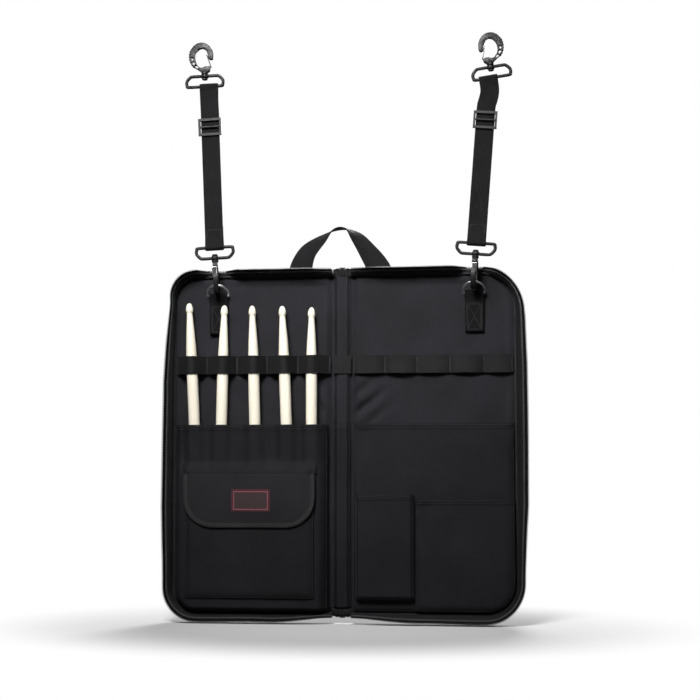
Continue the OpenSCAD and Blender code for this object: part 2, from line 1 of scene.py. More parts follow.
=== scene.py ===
import math
import bmesh
import bpy
import numpy as np
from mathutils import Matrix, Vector


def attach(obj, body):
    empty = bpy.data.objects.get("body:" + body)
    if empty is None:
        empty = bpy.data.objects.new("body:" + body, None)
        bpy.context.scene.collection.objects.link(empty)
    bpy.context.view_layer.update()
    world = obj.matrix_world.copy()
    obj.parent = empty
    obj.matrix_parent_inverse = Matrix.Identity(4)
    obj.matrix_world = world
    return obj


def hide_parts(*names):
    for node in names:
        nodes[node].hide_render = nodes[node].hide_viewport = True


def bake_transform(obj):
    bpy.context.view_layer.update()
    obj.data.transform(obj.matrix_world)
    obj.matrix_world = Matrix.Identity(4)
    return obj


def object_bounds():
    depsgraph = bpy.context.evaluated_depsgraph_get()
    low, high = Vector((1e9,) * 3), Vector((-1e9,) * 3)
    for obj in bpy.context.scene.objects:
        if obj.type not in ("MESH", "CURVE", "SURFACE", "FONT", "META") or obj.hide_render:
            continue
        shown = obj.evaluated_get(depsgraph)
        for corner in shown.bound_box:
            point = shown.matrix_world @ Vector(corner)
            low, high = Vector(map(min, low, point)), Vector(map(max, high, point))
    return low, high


# Open drum stick bag hung by two clip straps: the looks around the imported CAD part.
# Lengths in this file are millimetres until makePiece turns them into metres.
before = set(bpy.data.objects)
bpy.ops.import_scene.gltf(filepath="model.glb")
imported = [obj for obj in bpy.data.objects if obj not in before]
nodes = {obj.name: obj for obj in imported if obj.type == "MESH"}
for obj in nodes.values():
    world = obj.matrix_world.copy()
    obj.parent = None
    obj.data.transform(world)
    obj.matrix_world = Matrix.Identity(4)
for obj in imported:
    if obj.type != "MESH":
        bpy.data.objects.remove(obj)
cadLow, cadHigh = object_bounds()
mm = 0.001

# Sizes that the pieces share, as in the part's source
leaf = {"z": -532.738, "top": 221.0, "bottom": 229.0, "inner": 12.65, "lining": 22.0, "back": 30.0}
leafEdge = {"left": 228.6, "right": 231.0}
leafCorner = {"left": (32.0, 34.0), "right": (46.0, 42.0)}     # upper, lower
band = {"middle": 100.5, "width": 24.0}
seamX = 12.5
ringX = {"left": 168.0, "right": 177.0}
sideOf = {"left": -1.0, "right": 1.0}
forward, backward = (0, -1, 0), (0, 1, 0)


# Shader nodes of one material or world, joined as they are made.
class Graph:

    def __init__(self, owner, empty=False):
        self.owner = owner
        owner.use_nodes = True
        self.tree = owner.node_tree
        if empty:
            self.tree.nodes.clear()

    def add(self, kind, inputs=(), **settings):
        made = self.tree.nodes.new("ShaderNode" + kind)
        for key, value in settings.items():
            setattr(made, key, value)
        for socket, value in dict(inputs).items():
            self.put(value, made.inputs[socket])
        return made

    def put(self, value, socket):
        if hasattr(value, "is_linked"):
            self.tree.links.new(value, socket)
        else:
            socket.default_value = value

    def math(self, operation, *values):
        return self.add("Math", enumerate(values), operation=operation).outputs[0]

    # Sine of the place along one direction, once for each pitch in metres.
    def waves(self, along, pitch):
        return self.math("SINE", self.math("MULTIPLY", along, 2 * math.pi / pitch))

    def stretch(self, vector, factors):
        return self.add("VectorMath", {0: vector, 1: factors}, operation="MULTIPLY").outputs[0]

    def noise(self, vector, scale, detail=3.0, rough=0.55):
        settings = {"Vector": vector, "Scale": scale, "Detail": detail, "Roughness": rough}
        return self.add("TexNoise", settings).outputs["Fac"]

    def ramp(self, value, low, high, toLow=0.0, toHigh=1.0, **settings):
        ends = {"Value": value, "From Min": low, "From Max": high, "To Min": toLow, "To Max": toHigh}
        return self.add("MapRange", ends, **settings).outputs[0]

    def mix(self, share, first, second):
        made = self.add("Mix", data_type="RGBA")
        for socket, value in zip((0, 6, 7), (share, first, second)):
            self.put(value, made.inputs[socket])
        return made.outputs[2]

    def blend(self, share, first, second):
        return self.add("MixShader", {0: share, 1: first, 2: second}).outputs[0]

    # Colour, roughness and bump to the shader; constants straight on its sockets.
    def finish(self, colour, rough, height, depth, **constants):
        shader = self.tree.nodes["Principled BSDF"]
        bump = self.add("Bump", {"Height": height, "Strength": 1.0, "Distance": depth}).outputs[0]
        for socket, value in (("Normal", bump), ("Base Color", colour), ("Roughness", rough)):
            self.put(value, shader.inputs[socket])
        for socket, value in constants.items():
            shader.inputs[socket.replace("_", " ")].default_value = value
        return self.owner


def addToScene(name, data):
    holder = bpy.data.objects.new(name, data)
    bpy.context.scene.collection.objects.link(holder)
    return holder


def aimAt(holder, place, target):
    holder.location = place
    holder.rotation_euler = (Vector(target) - Vector(place)).to_track_quat("-Z", "Y").to_euler()


# Camera, lamps, a white surround with soft light, and a pale floor: grey round the bag as a painted shadow band,
# glowing white further out.
def buildStage():
    view = {"place": (0.2258, -1.8658, -0.5735), "target": (0.01072, 0.022, -0.41274), "lens": 73.2}
    ground = {"reach": 6.0, "shadowBand": (0.22, 0.5), "deeper": 1.35, "pale": 0.68, "bounce": 0.2}
    lamps = [  # name, place, aim, size, watts, spread in degrees
        ("key", (-0.18, -1.0, 0.42), (0, 0, -0.26), 0.5, 4.3, 62),
        ("fill", (1.4, -1.6, 0.1), (0, 0, -0.5), 1.2, 0.8, 180),
        ("top", (0.1, 0.22, 1.0), (0, 0.0, -0.45), 1.0, 4.0, 180),
        ("rear", (-0.05, 0.95, 0.75), (0, -0.1, -0.76), 0.55, 6.0, 180),
        ("back", (0.3, 1.35, 0.2), (0, 0, -0.45), 0.6, 15.0, 180),
    ]
    scene = bpy.context.scene
    camera = bpy.data.cameras.new("camera")
    camera.lens, camera.sensor_width = view["lens"], 36.0
    camera.clip_start, camera.clip_end = 0.05, 60.0
    scene.camera = addToScene("camera", camera)
    aimAt(scene.camera, view["place"], view["target"])

    for name, place, aim, size, watts, spread in lamps:
        lamp = bpy.data.lights.new(name, "AREA")
        lamp.shape, lamp.size, lamp.energy, lamp.spread = "DISK", size, watts, math.radians(spread)
        aimAt(addToScene(name, lamp), place, aim)

    white = (1, 1, 1, 1)
    scene.world = bpy.data.worlds.new("studio")
    g = Graph(scene.world, empty=True)
    soft, bright = (g.add("Background", {"Color": white, "Strength": s}).outputs[0] for s in (0.09, 1.0))
    seen = g.add("LightPath").outputs["Is Camera Ray"]
    g.add("OutputWorld", {"Surface": g.blend(seen, soft, bright)})

    r, floorZ = ground["reach"], cadLow.z - 0.0005
    mesh = bpy.data.meshes.new("floor")
    mesh.from_pydata([(-r, -r, floorZ), (r, -r, floorZ), (r, r, floorZ), (-r, r, floorZ)], [], [(0, 1, 2, 3)])
    g = Graph(bpy.data.materials.new("paleFloor"), empty=True)
    seen = g.add("LightPath").outputs["Is Camera Ray"]
    flat = g.stretch(g.add("TexCoord").outputs["Object"], (1.0, ground["deeper"], 0))
    far = g.add("VectorMath", {0: flat}, operation="LENGTH").outputs["Value"]
    # The floor is a grey lit surface near the bag and glows white further out: a painted shadow band round the bag's
    # foot, with the lamps' real shadows inside it.
    fade = g.ramp(far, *ground["shadowBand"], interpolation_type="SMOOTHSTEP")
    tone = g.mix(seen, (ground["bounce"],) * 3 + (1,), (ground["pale"],) * 3 + (1,))
    lit = g.add("BsdfDiffuse", {"Color": tone}).outputs[0]
    glow = g.add("Emission", {"Color": white}).outputs[0]
    g.add("OutputMaterial", {"Surface": g.blend(g.math("MULTIPLY", fade, seen), lit, glow)})
    mesh.materials.append(g.owner)
    addToScene("floor", mesh)
    scene.view_settings.view_transform = "Standard"
    print("stage ready")


buildStage()


def grey(value, blue=1.0, red=1.0):
    return (value * red, value, value * blue, 1.0)


# Plain weave: the product of two sine waves, one across and one up, over slow and patchy noise: mottling of handled
# cloth, and painted shade of soft folds and hollows.
def clothMaterial(name, look):
    g = Graph(bpy.data.materials.new(name))
    where = g.add("TexCoord").outputs["Object"]
    split = g.add("SeparateXYZ", {0: where})
    across = g.math("ADD", split.outputs[0], split.outputs[1])
    weave = g.math("MULTIPLY", g.waves(across, look["yarn"]), g.waves(split.outputs[2], look["yarn"]))
    slub = g.noise(g.stretch(where, (1.0, 1.0, 7.0)), 260.0, 2.0)
    slow, shadePatches, fine = g.noise(where, 9.0, 4.0), g.noise(where, 24.0, 3.0), g.noise(where, 900.0, 2.0)
    # Slow and patch noise make broad darker and lighter blotches in the colour: painted shade of folds and hollows,
    # over mottling of handled cloth.
    tone = g.math("ADD", g.ramp(slow, 0.3, 0.7, -0.3, 0.3), g.math("MULTIPLY", weave, 0.16))
    tone = g.math("ADD", tone, g.ramp(shadePatches, 0.3, 0.7, -0.16, 0.16))
    tone = g.math("ADD", tone, g.ramp(slub, 0.3, 0.7, 0.28, 0.62))
    rough = g.ramp(fine, 0.3, 0.7, look["rough"] - 0.07, look["rough"] + 0.07)
    height = g.math("ADD", g.math("MULTIPLY", weave, 0.5), g.math("MULTIPLY", fine, 0.6))
    return g.finish(g.mix(tone, look["dark"], look["light"]), rough, height, look["depth"],
            Sheen_Weight=look["sheen"],
                    Sheen_Roughness=0.42, Sheen_Tint=look["tint"], Specular_IOR_Level=look["gloss"])


# Ribbed webbing on its own map: u across and v along in metres.
def webMaterial(name, look):
    g = Graph(bpy.data.materials.new(name))
    split = g.add("SeparateXYZ", {0: g.add("UVMap", uv_map="UVMap").outputs[0]})
    where = g.add("TexCoord").outputs["Object"]
    ribs = g.waves(split.outputs[0], look["rib"])
    picks = g.waves(split.outputs[1], look["pick"])
    weave = g.math("ADD", g.math("MULTIPLY", ribs, 0.6), g.math("MULTIPLY", g.math("MULTIPLY", ribs, picks),
            0.5))
    slow, fine = g.noise(where, 30.0, 3.0), g.noise(where, 1100.0, 2.0)
    tone = g.math("ADD", g.ramp(slow, 0.3, 0.7, 0.2, 0.7), g.math("MULTIPLY", weave, 0.16))
    rough = g.ramp(fine, 0.3, 0.7, look["rough"] - 0.08, look["rough"] + 0.08)
    height = g.math("ADD", g.math("MULTIPLY", weave, 0.6), g.math("MULTIPLY", fine, 0.4))
    return g.finish(g.mix(tone, look["dark"], look["light"]), rough, height, look["depth"],
                    Sheen_Weight=look["sheen"], Sheen_Roughness=0.4, Specular_IOR_Level=look["gloss"])


# Moulded plastic or metal: faint mottling, fine scuffs and grain in roughness and bump.
def solidMaterial(name, look):
    g = Graph(bpy.data.materials.new(name))
    where = g.add("TexCoord").outputs["Object"]
    slow, fine = g.noise(where, look["mottle"], 3.0), g.noise(where, look["grain"], 3.0)
    scuff = g.noise(g.stretch(where, (1.0, 4.0, 0.35)), 420.0, 4.0)
    worn = g.ramp(scuff, 0.58, 0.74, 0.0, look["wear"])
    colour = g.mix(g.math("ADD", g.ramp(slow, 0.3, 0.7, 0.1, 0.6), worn), look["dark"], look["light"])
    rough = g.ramp(fine, 0.3, 0.7, look["rough"] - 0.05, look["rough"] + 0.05)
    rough = g.math("ADD", rough, g.math("MULTIPLY", worn, 0.3))
    return g.finish(colour, rough, g.math("ADD", fine, g.math("MULTIPLY", scuff, 0.5)), look["depth"],
                    Metallic=look["metal"], Coat_Weight=look["coat"], Coat_Roughness=0.15,
                    Specular_IOR_Level=look["gloss"])


# Pale maple: long thin fibres along the stick, small flecks and a satin lacquer.
def mapleMaterial(name):
    look = {"base": ((0.86, 0.80, 0.66, 1), (0.91, 0.88, 0.77, 1)), "fibre": (0.80, 0.68, 0.48, 1),
            "fleck": (0.66, 0.5, 0.32, 1)}
    g = Graph(bpy.data.materials.new(name))
    where = g.add("TexCoord").outputs["Object"]
    fibres = g.noise(g.stretch(where, (1.0, 1.0, 0.03)), 700.0, 4.0, 0.6)
    bands = g.noise(g.stretch(where, (1.0, 1.0, 0.08)), 130.0, 3.0)
    flecks = g.ramp(g.noise(g.stretch(where, (1.0, 1.0, 0.2)), 950.0, 2.0), 0.63, 0.72)
    colour = g.mix(g.ramp(bands, 0.3, 0.7), *look["base"])
    colour = g.mix(g.ramp(fibres, 0.45, 0.8, 0.0, 0.5), colour, look["fibre"])
    colour = g.mix(g.math("MULTIPLY", flecks, 0.35), colour, look["fleck"])
    return g.finish(colour, g.ramp(fibres, 0.3, 0.7, 0.36, 0.5), fibres, 0.00006,
                    Coat_Weight=0.15, Coat_Roughness=0.3)


# Woven label on its own map: dark ground, dark red edge and one thin pale red line, otherwise bare.
def labelMaterial(name):
    look = {"size": (0.0525, 0.0306), "edge": 0.0030, "line": 0.0042, "ground": ((0.030, 0.013, 0.016, 1),
            (0.050, 0.020, 0.024, 1)), "red": (0.060, 0.007, 0.014, 1), "pale": (0.36, 0.085, 0.125, 1)}
    g = Graph(bpy.data.materials.new(name))
    split = g.add("SeparateXYZ", {0: g.add("UVMap", uv_map="UVMap").outputs[0]}).outputs
    inward = [g.math("MINIMUM", split[k], g.math("SUBTRACT", look["size"][k], split[k])) for k in (0, 1)]
    edge = g.math("MINIMUM", *inward)
    line = g.math("MULTIPLY", g.math("GREATER_THAN", edge, look["edge"]),
            g.math("LESS_THAN", edge, look["line"]))
    threads = g.math("MULTIPLY", g.waves(split[0], 0.0005), g.waves(split[1], 0.0007))
    fine = g.noise(g.add("TexCoord").outputs["Object"], 900.0, 2.0)
    ground = g.mix(g.ramp(fine, 0.3, 0.7), *look["ground"])
    colour = g.mix(line, g.mix(g.math("LESS_THAN", edge, look["edge"]), ground, look["red"]), look["pale"])
    colour = g.mix(g.ramp(threads, -1.0, 1.0, 0.0, 0.3), colour, (0.01, 0.008, 0.009, 1))
    return g.finish(colour, g.ramp(fine, 0.3, 0.7, 0.55, 0.75), threads, 0.00012,
                    Sheen_Weight=0.2, Sheen_Roughness=0.4)


bluish, cool, pale = (0.8, 0.86, 1.0, 1), (0.9, 0.93, 1.0, 1), (0.85, 0.9, 1.0, 1)
families = [  # how the material is made, what its columns say, and one named row for each finish
    (clothMaterial, ("yarn", "depth", "rough", "gloss", "sheen", "tint", "dark", "light"), {
        "lining": ("liningCloth", 0.0011, 0.00022, 0.62, 0.2, 0.05, bluish, grey(0.0055, 1.30, 1.06),
                grey(0.0145, 1.32, 1.06)),
        "pocket": ("pocketCloth", 0.0011, 0.00022, 0.60, 0.17, 0.04, bluish, grey(0.0038, 1.30, 1.06),
                grey(0.0105, 1.32, 1.06)),
        "outer": ("outerCloth", 0.0014, 0.00035, 0.66, 0.22, 0.03, cool, grey(0.0045, 1.03),
                grey(0.0100, 1.05)),
        "shell": ("shellCloth", 0.0014, 0.00035, 0.6, 0.25, 0.05, cool, grey(0.0065, 1.1, 1.02),
                grey(0.0165, 1.12, 1.02)),
        "binding": ("bindingCloth", 0.0009, 0.0002, 0.55, 0.3, 0.05, pale, grey(0.0075, 1.04),
                grey(0.0160, 1.06)),
        # The cord's cloth is lighter and sheenier than the wall's: painted highlight of the rolled seam.
        "highlightCordCloth": ("highlightCordCloth", 0.0009, 0.0002, 0.5, 0.45, 0.1, pale, grey(0.0240, 1.04),
                grey(0.0440, 1.06))}),
    (webMaterial, ("rib", "pick", "depth", "rough", "gloss", "sheen", "dark", "light"), {
        "webbing": ("blackWebbing", 0.0016, 0.0012, 0.0004, 0.6, 0.14, 0.015, grey(0.0034, 1.14, 1.03),
                grey(0.0085, 1.16, 1.03)),
        "tabWeb": ("tabWebbing", 0.0016, 0.0012, 0.0004, 0.7, 0.15, 0.02, grey(0.0018, 1.14, 1.03),
                grey(0.0048, 1.16, 1.03)),
        "elastic": ("blackElastic", 0.0013, 0.0030, 0.0003, 0.7, 0.2, 0.03, grey(0.0055, 1.04),
                grey(0.0125, 1.06)),
        "tape": ("zipTape", 0.0008, 0.0008, 0.0002, 0.7, 0.15, 0.0, grey(0.0025), grey(0.0055))}),
    (solidMaterial, ("mottle", "grain", "wear", "rough", "depth", "metal", "coat", "gloss", "dark", "light"),
     {
        "thread": ("blackThread", 60.0, 1400.0, 0.2, 0.5, 0.0001, 0.0, 0.0, 0.5, grey(0.0100),
                grey(0.0260, 1.05)),
        "teeth": ("zipTeeth", 60.0, 900.0, 0.3, 0.5, 0.00005, 0.0, 0.1, 0.5, grey(0.0035), grey(0.0120)),
        "plastic": ("clipPlastic", 50.0, 700.0, 0.25, 0.48, 0.00006, 0.0, 0.04, 0.3, grey(0.0055, 1.1),
                grey(0.0180, 1.12)),
        "steel": ("nickelSteel", 50.0, 800.0, 0.2, 0.3, 0.00004, 1.0, 0.0, 0.5, grey(0.78, 1.02),
                grey(0.95, 1.01)),
        "zipMetal": ("zipMetal", 50.0, 800.0, 0.3, 0.3, 0.00006, 0.9, 0.0, 0.5, grey(0.03, 1.02),
                grey(0.12, 1.02))}),
]
finishes = {"maple": mapleMaterial("paleMaple"), "label": labelMaterial("wovenLabel")}
for make, columns, table in families:
    for key, (name, *values) in table.items():
        finishes[key] = make(name, dict(zip(columns, values)))
print("materials ready:", len(finishes))


# 0 up to 0, 1 from 1 on, and three t squared less two t cubed between.
def smooth(t):
    t = np.clip(t, 0.0, 1.0)
    return t * t * (3 - 2 * t)


# Rises from 0 to 1 over width as a quarter circle.
def quarter(d, width):
    return np.sqrt(np.clip(1 - (1 - np.clip(d / width, 0, 1)) ** 2, 0, 1))


# Sum of sine waves of about one length in seeded directions, between about -1 and 1.
def ripple(x, z, seed, length, count=6):
    draw = np.random.default_rng(seed)
    total = 0.0
    for turn, stretch, phase in zip(draw.uniform(0, math.pi, count), draw.uniform(0.6, 1.6, count),
                                    draw.uniform(0, 2 * math.pi, count)):
        along = x * math.cos(turn) + z * math.sin(turn)
        total = total + np.sin(along * 2 * math.pi / (length * stretch) + phase)
    return total / count * 1.4


# Four-sided faces between neighbouring points of a grid, joined round where it is wrapped.
def gridQuads(rows, cols, wrapRows=False, wrapCols=False):
    a, b = np.meshgrid(np.arange(rows if wrapRows else rows - 1), np.arange(cols if wrapCols else cols - 1),
                       indexing="ij")
    a, b = a.ravel(), b.ravel()
    a1, b1 = (a + 1) % rows, (b + 1) % cols
    return np.stack([a * cols + b, a1 * cols + b, a1 * cols + b1, a * cols + b1], 1)


# Points and faces of closed sections joined in order: round to the first, or with a flat face at each end.
def throughRings(rings, closed=False):
    n, k = rings.shape[:2]
    faces = [gridQuads(n, k, wrapRows=closed, wrapCols=True)]
    if not closed:
        faces += [np.arange(k)[None, ::-1], np.arange((n - 1) * k, n * k)[None]]
    return rings.reshape(-1, 3), faces


# Two grids of equal size as the two faces of one closed sheet, with a band of faces round the rim.
def closedSheet(front, back):
    rows, cols = front.shape[:2]
    grid = np.arange(rows * cols).reshape(rows, cols)
    rim = np.concatenate([grid[:-1, 0], grid[-1, :-1], grid[:0:-1, -1], grid[0, :0:-1]])
    following = np.roll(rim, -1)
    quads = gridQuads(rows, cols)
    side = np.stack([rim, following, following + rows * cols, rim + rows * cols], 1)
    return np.concatenate([front.reshape(-1, 3), back.reshape(-1, 3)]), [quads, quads[:, ::-1] + rows * cols,
            side]


# A closed profile carried along a path: path + a times across + b times face for each profile point (a, b).
def sweep(path, across, face, profile, closed=False):
    profile = np.broadcast_to(profile, (len(path),) + profile.shape[-2:])
    rings = path[:, None] + profile[:, :, :1] * across[:, None] + profile[:, :, 1:] * face[:, None]
    along = np.concatenate([[0], np.cumsum(np.linalg.norm(np.diff(path, axis=0), axis=1))])
    around = profile[:, :, 0]
    uv = np.stack([around, np.broadcast_to(along[:, None], around.shape)], 2).reshape(-1, 2)
    return *throughRings(rings, closed), uv


def unit(v):
    return v / np.maximum(np.linalg.norm(v, axis=-1, keepdims=True), 1e-9)


# Across and face of a path: the hint made square to the tangent, and the third direction.
def pathFrames(path, hint):
    tangent = unit(np.gradient(path, axis=0))
    across = unit(np.broadcast_to(hint, path.shape) - tangent
            * np.sum(tangent * hint, axis=-1, keepdims=True))
    return across, np.cross(tangent, across)


# Flattened superellipse: cosine and sine of an angle raised to a small power.
def roundedFlat(width, thick, count=20, power=0.35):
    angle = np.linspace(0, 2 * math.pi, count, endpoint=False) + math.pi / count
    c, s = np.cos(angle), np.sin(angle)
    return np.stack([width / 2 * np.sign(c) * np.abs(c) ** power,
            thick / 2 * np.sign(s) * np.abs(s) ** power], 1)


def circle(radius, count=12):
    angle = np.linspace(0, 2 * math.pi, count, endpoint=False)
    return np.stack([radius * np.cos(angle), radius * np.sin(angle)], 1)


# Catmull-Rom curve: each stretch is the cubic through two points with slopes from their neighbours.
def throughPoints(points, steps, closed=False):
    p = np.asarray(points, float)
    n = len(p)
    i = np.arange(n if closed else n - 1)
    a, b, c, d = (p[(i + k) % n if closed else np.clip(i + k, 0, n - 1)][:, None] for k in (-1, 0, 1, 2))
    t = (np.arange(steps) / steps)[None, :, None]
    curve = 0.5 * (2 * b + (c - a) * t + (2 * a - 5 * b + 4 * c - d) * t ** 2 + (3 * b - a - 3 * c + d)
            * t ** 3)
    curve = curve.reshape(-1, p.shape[1])
    return curve if closed else np.concatenate([curve, p[-1:]])


# Outline of (radius, height) turned about the vertical, closed at both ends by flat faces.
def revolve(outline, count=24):
    angle = np.linspace(0, 2 * math.pi, count, endpoint=False)
    r, z = (side[:, None] for side in np.asarray(outline, float).T)
    return throughRings(np.stack([r * np.cos(angle), r * np.sin(angle), z + 0 * angle], 2))


# Several (points, faces) as one.
def joined(parts):
    points, faces, start = [], [], 0
    for p, f in parts:
        points.append(p)
        faces += [x + start for x in f]
        start += len(p)
    return np.concatenate(points), faces


# A closed rectangle as evenly stepped places, from its lower left corner.
def boxLine(x0, x1, z0, z1, count):
    at = np.linspace(0, 4, count)
    return np.interp(at, range(5), [x0, x1, x1, x0, x0]), np.interp(at, range(5), [z0, z0, z1, z1, z0])


# Points turned about Y: x to x cos + z sin, and z to z cos - x sin.
def turned(points, degrees):
    a = math.radians(degrees)
    x, y, z = points[..., 0], points[..., 1], points[..., 2]
    return np.stack([x * math.cos(a) + z * math.sin(a), y, z * math.cos(a) - x * math.sin(a)], -1)


# A mesh object at the origin from points in millimetres and arrays of faces, normals outwards.
def makePiece(name, points, faces, finish, body=None, stands=(), uv=None, sharp=48):
    corners = np.concatenate([f.ravel() for f in faces]).astype(np.int32)
    totals = np.concatenate([np.full(len(f), f.shape[1]) for f in faces])
    mesh = bpy.data.meshes.new(name)
    mesh.vertices.add(len(points))
    mesh.vertices.foreach_set("co", (points * mm).astype(np.float32).ravel())
    mesh.loops.add(len(corners))
    mesh.loops.foreach_set("vertex_index", corners)
    mesh.polygons.add(len(totals))
    mesh.polygons.foreach_set("loop_start", np.concatenate([[0], np.cumsum(totals)[:-1]]).astype(np.int32))
    if uv is not None:
        layer = mesh.uv_layers.new(name="UVMap")
        layer.data.foreach_set("uv", (uv[corners] * mm).astype(np.float32).ravel())
    mesh.update(calc_edges=True)
    mesh.validate()
    shell = bmesh.new()
    shell.from_mesh(mesh)
    bmesh.ops.recalc_face_normals(shell, faces=shell.faces)
    shell.to_mesh(mesh)
    shell.free()
    mesh.shade_smooth()
    mesh.set_sharp_from_angle(angle=math.radians(sharp))
    mesh.materials.append(finishes[finish])
    piece = addToScene(name, mesh)
    if body:
        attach(piece, body)
    if stands:
        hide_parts(*stands)
    return piece


# A closed sheet as a piece; its map, if any, is one face's and serves both.
def sheetPiece(name, front, back, finish, body=None, stands=(), uv=None):
    points, faces = closedSheet(front, back)
    both = None if uv is None else np.tile(uv.reshape(-1, 2), (2, 1))
    return makePiece(name, points, faces, finish, body, stands, both)


# Short tapered threads at even steps along lines on the cloth: (line points, facing direction) each.
def stitchRows(name, rows, body, pitch=3.4, length=2.5, radius=0.34):
    centres, tangents, normals = [], [], []
    for line, facing in rows:
        line = np.asarray(line, float)
        reach = np.concatenate([[0], np.cumsum(np.linalg.norm(np.diff(line, axis=0), axis=1))])
        at = (np.arange(max(1, int(reach[-1] / pitch))) + 0.5) * pitch
        low, high = (np.stack([np.interp(at + d, reach, line[:, k]) for k in range(3)], 1)
                for d in (-0.8, 0.8))
        centres.append((low + high) / 2)
        tangents.append(unit(high - low))
        normals.append(np.broadcast_to(unit(np.asarray(facing, float)), low.shape))
    c, t, n = (np.concatenate(v) for v in (centres, tangents, normals))
    side = unit(np.cross(t, n))
    steps = np.array([-0.5, -0.4, -0.15, 0.15, 0.4, 0.5]) * length
    sizes = np.array([0.35, 0.8, 1.0, 1.0, 0.8, 0.35]) * radius
    lift = np.array([-0.3, 0.0, 0.1, 0.1, 0.0, -0.3]) * radius
    angle = np.linspace(0, 2 * math.pi, 6, endpoint=False)
    shape = (c[:, None, None] + t[:, None, None] * steps[None, :, None, None]
             + side[:, None, None] * (sizes[:, None] * np.cos(angle))[None, :, :, None]
             + n[:, None, None] * (lift[:, None] + sizes[:, None] * np.sin(angle))[None, :, :, None])
    quads = gridQuads(6, 6, wrapCols=True)
    caps = np.array([[5, 4, 3, 2, 1, 0], [30, 31, 32, 33, 34, 35]])
    starts = (np.arange(len(c)) * 36)[:, None, None]
    faces = [(quads[None] + starts).reshape(-1, 4), (caps[None] + starts).reshape(-1, 6)]
    return makePiece(name, shape.reshape(-1, 3), faces, "thread", body)


# Outer edge of a leaf at height v: straight, then the quarter circle of the corner.
def leafOut(side, v, margin=0.0):
    corner = np.where(np.asarray(v) > 0, *leafCorner[side])
    radius = corner - margin
    over = np.clip(np.where(v > 0, v - leaf["top"], -v - leaf["bottom"]) + corner, 0, radius)
    return leafEdge[side] - corner + np.sqrt(np.maximum(radius ** 2 - over ** 2, 0))


# Distance of a place from the nearest free edge of its leaf.
def leafRim(side, x, v):
    return np.minimum(leafOut(side, v) - x, np.where(v > 0, leaf["top"] - v, leaf["bottom"] + v))


# Heights from low to high, evenly spaced, with more round the corners.
def leafRows(side, low, high, count):
    turn = np.sin(np.linspace(0, math.pi / 2, 16)) - 1
    over, under = leafCorner[side]
    corners = [leaf["top"] + over * turn, -leaf["bottom"] - under * turn]
    rows = np.concatenate([np.linspace(low, high, count)] + corners)
    rows = np.unique(np.round(rows[(rows >= low) & (rows <= high)], 3))
    return rows[np.concatenate([[True], np.diff(rows) > 0.05])]


# 0 to 1, closer together at the ends.
def spaced(count, ends=0.75):
    q = np.linspace(0, 1, count)
    return (1 - ends) * q + ends * (0.5 - 0.5 * np.cos(math.pi * q))


# Places x outwards from the middle on one side, y back and v up from the leaf's middle.
def onLeaf(side, x, y, v):
    return np.stack(np.broadcast_arrays(sideOf[side] * x, y, leaf["z"] + v), -1)


def linings():
    look = {"cols": 90, "rows": 160, "groove": 2.6, "valley": 4.4, "puff": 0.7, "wrinkle": 1.7,
            "seed": {"left": 3, "right": 8}}
    for side in ("left", "right"):
        v = leafRows(side, -leaf["bottom"], leaf["top"], look["rows"])[None, :]
        x = leaf["inner"] + (leafOut(side, v) - leaf["inner"]) * spaced(look["cols"])[:, None]
        v = np.broadcast_to(v, x.shape)
        rim = leafRim(side, x, v)
        valley = x - leaf["inner"]
        # soft hollows, and folds that climb from the spine above the pockets
        fold = np.exp(-((x - 32) / 24) ** 2) * np.exp(-((v - 48) / 26) ** 2) * np.sin((x * 0.8 - v) * 2
                * math.pi / 27)
        front = (leaf["lining"] + 0.05 + look["groove"] * (1 - smooth(rim / 9)) + look["valley"]
                * (1 - smooth(valley / 10))
                 + look["wrinkle"] * (1 + ripple(x, v, look["seed"][side], 110)) * smooth(rim
                         / 16) * smooth(valley / 14)
                 + 0.6 * (1 + ripple(x, v, look["seed"][side] + 20, 44)) * smooth(rim / 10)
                 + (2.2 if side == "right" else 0.9) * (fold + 0.3 * np.abs(fold)))
        front = np.maximum(front, leaf["lining"] + 0.05)
        back = np.full_like(x, leaf["back"] - 1.1)
        piece = sheetPiece(side + "Lining", onLeaf(side, x, front, v), onLeaf(side, x, back, v), "lining",
                side + "_leaf",
                          (side + "_lining", side + "_foam"))

        puff = look["puff"] * smooth(np.minimum(rim, valley + 6) / 50) + 0.3 * ripple(x, v,
                look["seed"][side] + 5, 120)
        outside = leaf["back"] + np.minimum(puff, 1.0) - 0.9 * (1 - smooth(rim / 3)) - 0.6 * (1
                - smooth(valley / 3))
        sheetPiece(side + "Shell", onLeaf(side, x, back + 0.1, v), onLeaf(side, x, outside, v), "shell",
                side + "_leaf",
                  (side + "_outer_shell", side + "_board"))
    print("linings and shells ready")


linings()


# Rim: soft wall, welt, zip tape with teeth, piping
# Places round the three free sides of a leaf, from the spine's upper end to its lower one: u, v and the outward normal.
def rimStations(side, step=3.0):
    over, under = leafCorner[side]
    edge, top, bottom = leafEdge[side] - seamX, leaf["top"], leaf["bottom"]
    first = np.linspace(0, edge - over, int((edge - over) / step))[:-1]
    last = np.linspace(edge - under, 0, int((edge - under) / step))[1:]
    down = np.linspace(top - over, under - bottom, int((top + bottom - over - under) / (step * 1.6)))[1:-1]
    turn = np.radians(np.linspace(90, 0, 20))
    zero, one = np.zeros_like, np.ones_like
    u = np.concatenate([first, edge - over + over * np.cos(turn), edge * one(down),
            edge - under + under * np.sin(turn), last])
    v = np.concatenate([top * one(first), top - over + over * np.sin(turn), down,
            under - bottom - under * np.cos(turn), -bottom * one(last)])
    nu = np.concatenate([zero(first), np.cos(turn), one(down), np.sin(turn), zero(last)])
    nv = np.concatenate([one(first), np.sin(turn), zero(down), -np.cos(turn), -one(last)])
    return u, v, nu, nv


